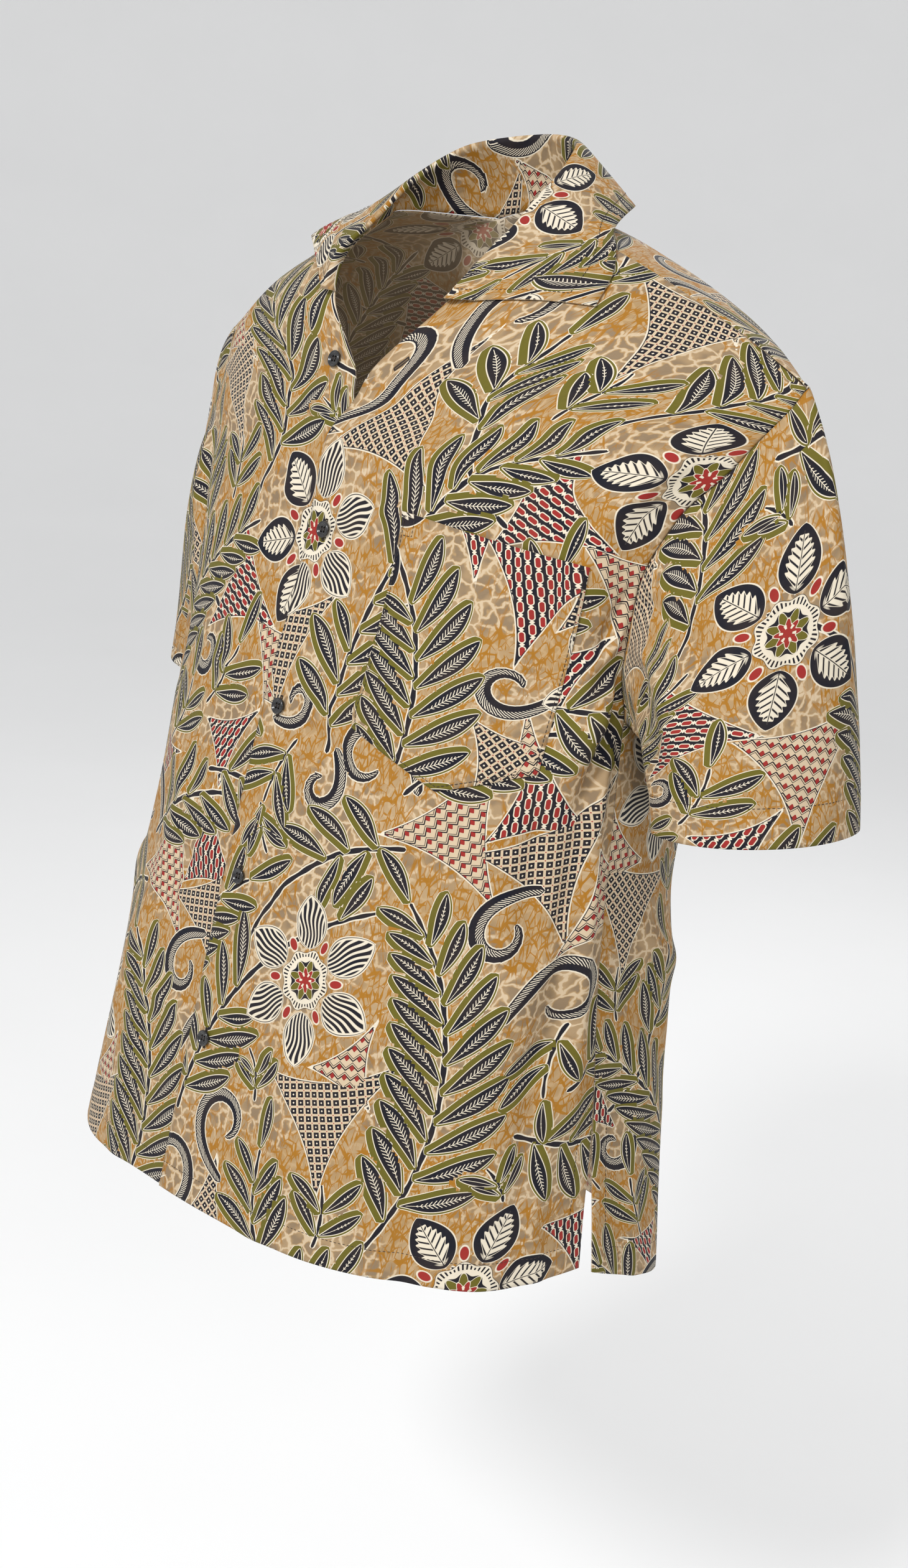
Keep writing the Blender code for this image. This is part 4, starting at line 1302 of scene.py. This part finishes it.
def make_front(side):
    columns, rows = faces_of(FRONT_SIZE, FRONT_STEP)
    g, up = grid((0, 1, columns + 1), (0, TOP, rows + 1))
    u = front_grid(g, up)
    up[:, -1] = below_shoulder(plain_front, u[:, -1])
    points = front(side, u, up)
    across = run_along(points)
    rise = run_along(points[columns // 2][:, None])[:, 0]
    flat = np.stack([side * across, np.broadcast_to(rise, across.shape)], -1)
    sheet = Sheet()
    sheet.lay(sheet.add(points, flat, front_relief(u, up, across)), side < 0)
    return sheet, None


def make_back():
    # An eighth of each half is the neck's share, so the number of faces there has to be whole
    half, rows = round(BACK_SIZE[0] / BACK_STEP / 8) * 8, round(BACK_SIZE[1] / BACK_STEP)
    skipped = round(NECK_SHARE * half)
    g, up = grid((-1, 1, 2 * half + 1), (0, BACK_NECK, rows + 1))
    u = g * outer_share(plain_back, up)
    points = whole_back(u, up)
    across = run_along(points)
    across = across - across[half]
    rise = run_along(points[half][:, None])[:, 0]
    sheet = Sheet()
    flat = np.stack([across, np.broadcast_to(rise, across.shape)], -1)
    lower = sheet.add(points, flat, back_relief(u, up, across))
    sheet.lay(lower, True)
    for side in (1, -1):
        shares = np.linspace(0, 1, half - skipped + 1)
        ups = np.linspace(BACK_NECK, TOP, round(BACK_TOP_SIZE / BACK_STEP) + 1)[1:]
        g, up = np.meshgrid(shares, ups, indexing="ij")
        u = g * outer_share(plain_back, up)
        up[:, -1] = below_shoulder(plain_back, u[:, -1])
        upper = back(side, u, up)
        base = lower[half + skipped:, -1] if side > 0 else lower[half - skipped::-1, -1]
        base = base[:len(shares)]
        start = points.reshape(-1, 3)[base]
        climb = run_along(np.concatenate([start[:, None], upper], 1).swapaxes(0, 1)).T[:, 1:]
        over = np.broadcast_to(across.reshape(-1)[base][:, None], climb.shape)
        flat = np.stack([over, rise[-1] + climb], -1)
        quiet = uneven(flat[..., 0] + 50, flat[..., 1]) * (1 - smooth(0.90, 0.99, u)) * 0.5
        numbers = np.concatenate([base[:, None], sheet.add(upper, flat, quiet)], 1)
        sheet.lay(numbers, side > 0)
    return sheet, None


def make_sleeve(side):
    around, rows = faces_of(SLEEVE_SIZE, SLEEVE_STEP)
    a, t = grid((0, 1, around + 1), (0, 1, rows + 1))
    points = sleeve(side, a, t)
    across = run_along(points)
    across = across - across[around // 2]
    length = run_along(points.swapaxes(0, 1)).T
    flat = np.stack([side * across, -np.broadcast_to(length[around // 2], across.shape)], -1)
    sheet = Sheet()
    relief = sleeve_relief(a, t, length[:, -1:] - length)
    relief[-1] = relief[0]
    numbers = sheet.add(points, flat, relief)
    sheet.lay(numbers, side > 0)
    return sheet, (numbers[0], numbers[-1])


def make_collar():
    columns, rows = faces_of(COLLAR_SIZE, COLLAR_FACE)
    c, b = grid((1, -1, columns + 1), (0, 1, rows + 1))
    points = collar(c, b)
    across = run_along(points)
    across = across - across[columns // 2]
    rise = run_along(points.swapaxes(0, 1)).T
    edge = np.minimum((1 - b) * rise[:, -1:], np.minimum(across[-1:] - across, across - across[:1]))
    relief = stitch_dip(edge - COLLAR_STITCH) + uneven(across, rise) * 0.6
    sheet = Sheet()
    sheet.lay(sheet.add(points, np.stack([across, rise], -1), relief), True)
    return sheet, None


def share_at(across, up):
    """Share u of a front's width at distances across its rows, measured from the middle line."""
    shares = np.linspace(0, 1, 100)
    found = []
    for distance, height in zip(np.ravel(across), np.ravel(up)):
        run = run_along(plain_front(shares, np.full(100, float(height))))
        found.append(np.interp(distance, run, shares))
    return np.array(found).reshape(np.shape(across))


def across_at(point, start, u, up):
    """Length of cloth along a row of a panel, from share start to share u."""
    steps = np.linspace(0, 1, 60).reshape(-1, *[1] * np.ndim(u))
    return run_along(point(start + (u - start) * steps, up + 0 * steps))[-1]


def on_front(side, u, up, rise):
    """Points on a front's outer face, creases and all, moved out by rise, with their normals."""
    spot = front(side, u, up)
    across = across_at(lambda u_at, up_at: front(side, u_at, up_at), -lap_share(up), u, up)
    du = front(side, u + 0.01, up) - front(side, u - 0.01, up)
    dup = front(side, u, up + 2) - front(side, u, up - 2)
    normal = side * unit(np.cross(du, dup))
    relief = front_relief(u, up, across)
    return spot + normal * (CLOTH + relief + rise)[..., None], normal


def on_back(u, up, rise):
    du = whole_back(u + 0.01, up) - whole_back(u - 0.01, up)
    normal = -unit(np.cross(du, whole_back(u, up + 2) - whole_back(u, up - 2)))
    across = np.sign(u) * across_at(whole_back, 0.0, u, up)
    return whole_back(u, up) + normal * (CLOTH + back_relief(u, up, across) + rise)[..., None], normal


def on_sleeve(side, a, t, rise):
    spot = sleeve(side, a, t)
    da = sleeve(side, (a + 0.004) % 1, t) - sleeve(side, (a - 0.004) % 1, t)
    normal = -side * unit(np.cross(da, sleeve(side, a, t + 0.01) - sleeve(side, a, t - 0.01)))
    return spot + normal * (CLOTH + sleeve_relief(a, t, CUFF_FOLD) + rise)[..., None], normal


def pocket_grid(columns, rows):
    (left_x, left_up), (right_x, right_up) = POCKET_TOP
    bottom = np.array(POCKET_BOTTOM, float)
    share, rise = grid((0, 1, columns + 1), (0, 1, rows + 1))
    low_x = bottom[0, 0] + (bottom[-1, 0] - bottom[0, 0]) * share
    low_up = np.interp(low_x, bottom[:, 0], bottom[:, 1])
    across = low_x + (left_x + (right_x - left_x) * share - low_x) * rise
    up = low_up + (left_up + (right_up - left_up) * share - low_up) * rise
    return share, rise, across, up


def make_pocket():
    columns, rows = faces_of(POCKET_SIZE, POCKET_STEP)
    share, rise, across, up = pocket_grid(columns, rows)
    u = share_at(across, up)
    points, normal = on_front(1, u, up, 0.0)
    edge = np.minimum(np.minimum(share, 1 - share) * POCKET_WIDE, rise * POCKET_HIGH)
    relief = stitch_dip(edge - POCKET_DIP)
    relief = relief + POCKET_BILLOW * smooth(*BILLOW_ENDS, edge) * (0.4 + 0.6 * rise)
    points = points - normal * CLOTH + normal * (SHELL + POCKET_LIFT)
    flat = np.stack([across, up * POCKET_CLOTH], -1)
    sheet = Sheet()
    sheet.lay(sheet.add(points, flat, relief), False)
    return sheet, None


class Stitches:
    """Runs of machine stitches: short bulging threads that dip into the cloth at both ends."""

    def __init__(self):
        self.points, self.faces = [], []

    def run(self, points, normals, long=2.3, gap=0.7, thick=0.24):
        """Stitches along a path of points, lying on the cloth."""
        length = run_along(points[:, None])[:, 0]
        for start in np.arange(0, length[-1] - long, long + gap):
            at = start + long * np.array([0.0, 0.18, 0.5, 0.82, 1.0])
            line, out = on_path(at, length, points), unit(on_path(at, length, normals))
            bulge = thick * np.array([0.2, 0.85, 1.0, 0.85, 0.2])
            self.thread(line, out, bulge, (-0.2, 0.0, 0.1, 0.0, -0.2))

    def thread(self, line, out, thick, lift):
        side = unit(np.cross(np.gradient(line, axis=0), out))
        first = len(self.points)
        for spot, up, across, size, rise in zip(line, out, side, thick, lift):
            for k in range(6):
                angle = math.pi / 3 * k
                ring = across * math.cos(angle) * size + up * (math.sin(angle) * size * 0.75 + rise)
                self.points.append(spot + ring)
        for row in range(len(line) - 1):
            for k in range(6):
                a, b = first + row * 6 + k, first + row * 6 + (k + 1) % 6
                self.faces.append((a, b, b + 6, a + 6))
        self.faces.append(tuple(first + k for k in range(5, -1, -1)))
        self.faces.append(tuple(first + (len(line) - 1) * 6 + k for k in range(6)))

    def mesh(self, name):
        mesh = bpy.data.meshes.new(name)
        mesh.from_pydata([tuple(p * MM) for p in self.points], [], self.faces)
        mesh.shade_smooth()
        return mesh


def sew_body(stitches):
    """Hems and vents."""
    for side in (1, -1):
        u = np.linspace(-0.05, SEAM_RUN, 400)
        stitches.run(*on_front(side, u, np.full(400, HEM_FOLD), THREAD_RISE))
        up = np.linspace(HEM_FOLD, VENT_TOP, 90)
        inner = 1 - (VENT_FOLD + VENT_SPREAD * (1 - up / VENT_TOP)) / BACK_SPAN[0]
        bar, level = np.linspace(1 - VENT_FOLD / BACK_SPAN[0], 0.998, 20), np.full(20, VENT_TOP)
        for share, height in ((inner, up), (bar, level)):
            stitches.run(*on_front(side, share, height, THREAD_RISE))
            stitches.run(*on_back(side * share, height, THREAD_RISE))
    u = np.linspace(-SEAM_RUN, SEAM_RUN, 800)
    stitches.run(*on_back(u, np.full(800, HEM_FOLD), THREAD_RISE))


def sew_sleeves(stitches):
    for side in (1, -1):
        a, t = grid((0.0, 0.999, 400), (0, 1, 80))
        length = run_along(sleeve(side, a, t).swapaxes(0, 1)).T
        share = [np.interp(row[-1] - CUFF_FOLD, row, t[0]) for row in length]
        stitches.run(*on_sleeve(side, a[:, 0], np.array(share), THREAD_RISE))


def sew_pocket(stitches):
    """A line round the sides and bottom, and a small box at each upper corner."""
    corners = [POCKET_TOP[0], *POCKET_BOTTOM, POCKET_TOP[1]]
    middle = np.mean(corners, 0)
    inset = [np.array(c) + POCKET_STITCH * (middle - c) / np.linalg.norm(middle - c) for c in corners]
    lines = [(inset, 60)]
    for corner, way in ((inset[0], 1), (inset[-1], -1)):
        lines.append(([corner, corner + [8 * way, -1], corner + [8 * way, -12], corner + [0, -12]], 12))
    for ends, count in lines:
        path = np.concatenate([np.linspace(a, b, count) for a, b in zip(ends, ends[1:])])
        u = share_at(path[:, 0], path[:, 1])
        stitches.run(*on_front(1, u, path[:, 1], POCKET_RISE))


def sew_collar(stitches):
    """Topstitching along the collar's free edges."""
    ends, far = COLLAR_STITCH_SHARES
    down = np.linspace(0.34, far, 60)
    b = np.concatenate([down, np.full(500, far), down[::-1]])
    c = np.concatenate([np.full(60, ends), np.linspace(ends, -ends, 500), np.full(60, -ends)])
    nearby = [collar(c + dc, b + db) for dc, db in ((0, 0), (0.004, 0), (0, 0.01))]
    normal = unit(np.cross(nearby[1] - nearby[0], nearby[2] - nearby[0]))
    stitches.run(nearby[0] + normal * (CLOTH + 0.1), normal)


def buttonhole(stitches, centre, normal, along, long):
    """A slit worked round with close thread, thicker at both ends."""
    across = unit(np.cross(normal, along))
    for side in (1, -1):
        for k in np.linspace(-0.5, 0.5, 26):
            spot = centre + along * long * k + across * side * 0.55
            line = np.stack([spot + across * side * away for away in (-0.3, 0.35, 0.95)])
            stitches.thread(line, np.stack([normal] * 3), np.array([0.2, 0.27, 0.16]), (0.0, 0.12, -0.05))
    for end in (-0.53, 0.53):
        for k in np.linspace(-1.0, 1.0, 7):
            spot = centre + along * (long * end + 0.25 * k)
            line = np.stack([spot + across * away for away in (-1.3, 0.0, 1.3)])
            stitches.thread(line, np.stack([normal] * 3), np.array([0.16, 0.3, 0.16]), (-0.05, 0.22, -0.05))


def loose_object(name, form):
    mesh = bpy.data.meshes.new(name)
    form.to_mesh(mesh)
    form.free()
    return new_object(name, mesh)


def button_mesh(name):
    """A turned disc with a raised rim and four holes."""
    body = bmesh.new()
    rings = []
    angles = [2 * math.pi * k / 64 for k in range(64)]
    for share, height in BUTTON_OUTLINE:
        radius, level = share * BUTTON_RADIUS * MM, height * BUTTON_THICK * MM
        ways = angles if share else [0.0]
        rings.append([body.verts.new((radius * math.cos(a), radius * math.sin(a), level)) for a in ways])
    for inner, outer in zip(rings, rings[1:]):
        for k in range(64):
            ends = [(inner, k), (outer, k), (outer, k + 1), (inner, k + 1)]
            body.faces.new(list(dict.fromkeys(ring[at % len(ring)] for ring, at in ends)))
    bmesh.ops.recalc_face_normals(body, faces=body.faces)
    rods = bmesh.new()
    size = {"radius1": HOLE_RADIUS * MM, "radius2": HOLE_RADIUS * MM, "depth": HOLE_DEEP * MM}
    for k in range(4):
        angle = math.radians(45 + 90 * k)
        way = (HOLE_AWAY * MM * math.cos(angle), HOLE_AWAY * MM * math.sin(angle), 0)
        made = bmesh.ops.create_cone(rods, cap_ends=True, segments=20, **size)
        bmesh.ops.translate(rods, verts=made["verts"], vec=way)
    whole, rod = loose_object(name + "_whole", body), loose_object(name + "_rods", rods)
    cut = whole.modifiers.new("holes", "BOOLEAN")
    cut.object, cut.solver = rod, "EXACT"
    bpy.context.view_layer.update()
    done = bpy.data.meshes.new_from_object(whole.evaluated_get(bpy.context.evaluated_depsgraph_get()))
    for obj in (whole, rod):
        bpy.data.objects.remove(obj, do_unlink=True)
    done.shade_smooth()
    done.set_sharp_from_angle(angle=math.radians(38))
    return done


def facing(x, y, z):
    return Matrix([x, y, z]).transposed().to_4x4()


def frame_on(centre, normal):
    z = unit(np.array(normal, float))
    x = unit(np.cross([0, 0, 1], z))
    return Matrix.Translation(centre) @ facing(x, np.cross(z, x), z)


def make_buttons(stitches, plastic):
    shape = button_mesh("button")
    u = share_at([TOP_BUTTON[0]], [TOP_BUTTON[1]])
    spots = [(-1, u, np.array([float(TOP_BUTTON[1])]))]
    spots += [(1, np.zeros(1), np.array([float(up)])) for up in BUTTON_UPS]
    for k, (side, u, up) in enumerate(spots):
        spot, normal = (v[0] for v in on_front(side, u, up, BUTTON_LIFT))
        mesh = shape.copy()
        mesh.transform(frame_on(spot * MM, normal))
        show(f"button_{k + 1}_turned", mesh, plastic, "button", f"button_{k + 1}")
        along = unit(np.array([0, 0, 1.0]) - normal * normal[2])
        across = unit(np.cross(normal, along))
        for way in (THREAD_AWAY, -THREAD_AWAY):
            line = spot + across * way + np.linspace(-THREAD_AWAY, THREAD_AWAY, 5)[:, None] * along
            line = line + normal * (BUTTON_THICK * BUTTON_OUTLINE[0][1])
            stitches.thread(line, np.stack([normal] * 5), np.full(5, 0.3), (-0.5, 0.12, 0.22, 0.12, -0.5))
        if side > 0:
            buttonhole(stitches, spot - normal * (BUTTON_LIFT - 0.05), normal, along, BUTTONHOLE_LONG)


def make_open_buttonhole(stitches):
    share, height, long = OPEN_BUTTONHOLE
    u, up = np.array([share]), np.array([height])
    spot, normal = (v[0] for v in on_front(1, u, up, 0.05))
    ahead = on_front(1, u + 0.006, up + 8, 0.05)[0][0]
    buttonhole(stitches, spot, normal, unit(ahead - spot), long)


def make_cloth(cloth):
    """All pieces of cloth, each with the place where it was cut from the printed cloth."""
    made = {"front_left": make_front(1), "front_right": make_front(-1), "back": make_back(),
            "sleeve_left": make_sleeve(1), "sleeve_right": make_sleeve(-1), "collar": make_collar(),
            "pocket": make_pocket()}
    for node, origin, turn, flat, held, area in CUTS:
        sheet, seam = made[node]
        name = node + "_cloth"
        piece = show(name, sheet.close(name, origin, turn, seam), cloth, "cloth", node)


def add_light(name, place_at, look_at, size, power):
    lamp = bpy.data.lights.new(name, "AREA")
    lamp.shape, lamp.size, lamp.energy = "DISK", size, power
    new_object(name, lamp).matrix_world = frame_on(place_at, np.array(place_at) - np.array(look_at))


def make_studio():
    floor = bpy.data.meshes.new("floor")
    turns = [2 * math.pi * k / BAY_SIDES for k in range(BAY_SIDES)]
    points = [(r * math.cos(turn), r * math.sin(turn), z) for r, z in BAY for turn in turns]
    faces = []
    for first in range(0, (len(BAY) - 1) * BAY_SIDES, BAY_SIDES):
        for k in range(BAY_SIDES):
            a, b = first + k, first + (k + 1) % BAY_SIDES
            faces.append((a, b, b + BAY_SIDES, a + BAY_SIDES))
    floor.from_pydata(points, [], [*faces, range(BAY_SIDES - 1, -1, -1)])
    floor.shade_smooth()
    floor.materials.append(floor_material("pale_floor"))
    new_object("floor", floor)
    world = bpy.data.worlds.new("studio")
    world.use_nodes = True
    sky = world.node_tree.nodes["Background"]
    sky.inputs["Color"].default_value, sky.inputs["Strength"].default_value = SKY, SKY_STRENGTH
    bpy.context.scene.world = world
    for row in LIGHTS:
        add_light(*row)
    bpy.context.scene.view_settings.view_transform = "Standard"


def make_camera():
    """Camera at the photograph's viewing angle: turned, looking down and tilted a little."""
    yaw, pitch, roll = (math.radians(v) for v in CAMERA_TURN)
    level = math.cos(pitch)
    ahead = np.array([-math.sin(yaw) * level, math.cos(yaw) * level, -math.sin(pitch)])
    right = np.array([math.cos(yaw), math.sin(yaw), 0])
    up = np.cross(right, ahead)
    x = math.cos(roll) * right + math.sin(roll) * up
    y = math.cos(roll) * up - math.sin(roll) * right
    lens = bpy.data.cameras.new("camera")
    lens.sensor_width, lens.lens, lens.clip_start = SENSOR, SENSOR * FOCAL / FRAME_HIGH, 0.02
    camera = new_object("camera", lens)
    camera.matrix_world = Matrix.Translation(np.array(CAMERA_AT) * MM) @ facing(x, y, -ahead)
    bpy.context.scene.camera = camera


DRAWING = Print()
make_camera()
make_studio()
make_cloth(cloth_material("printed_cotton"))
sewing = Stitches()
for sew in (sew_body, sew_sleeves, sew_pocket, sew_collar):
    sew(sewing)
make_buttons(sewing, plastic_material("black_plastic"))
make_open_buttonhole(sewing)
show("stitching", sewing.mesh("stitching"), thread_material("dark_thread"), "cloth")
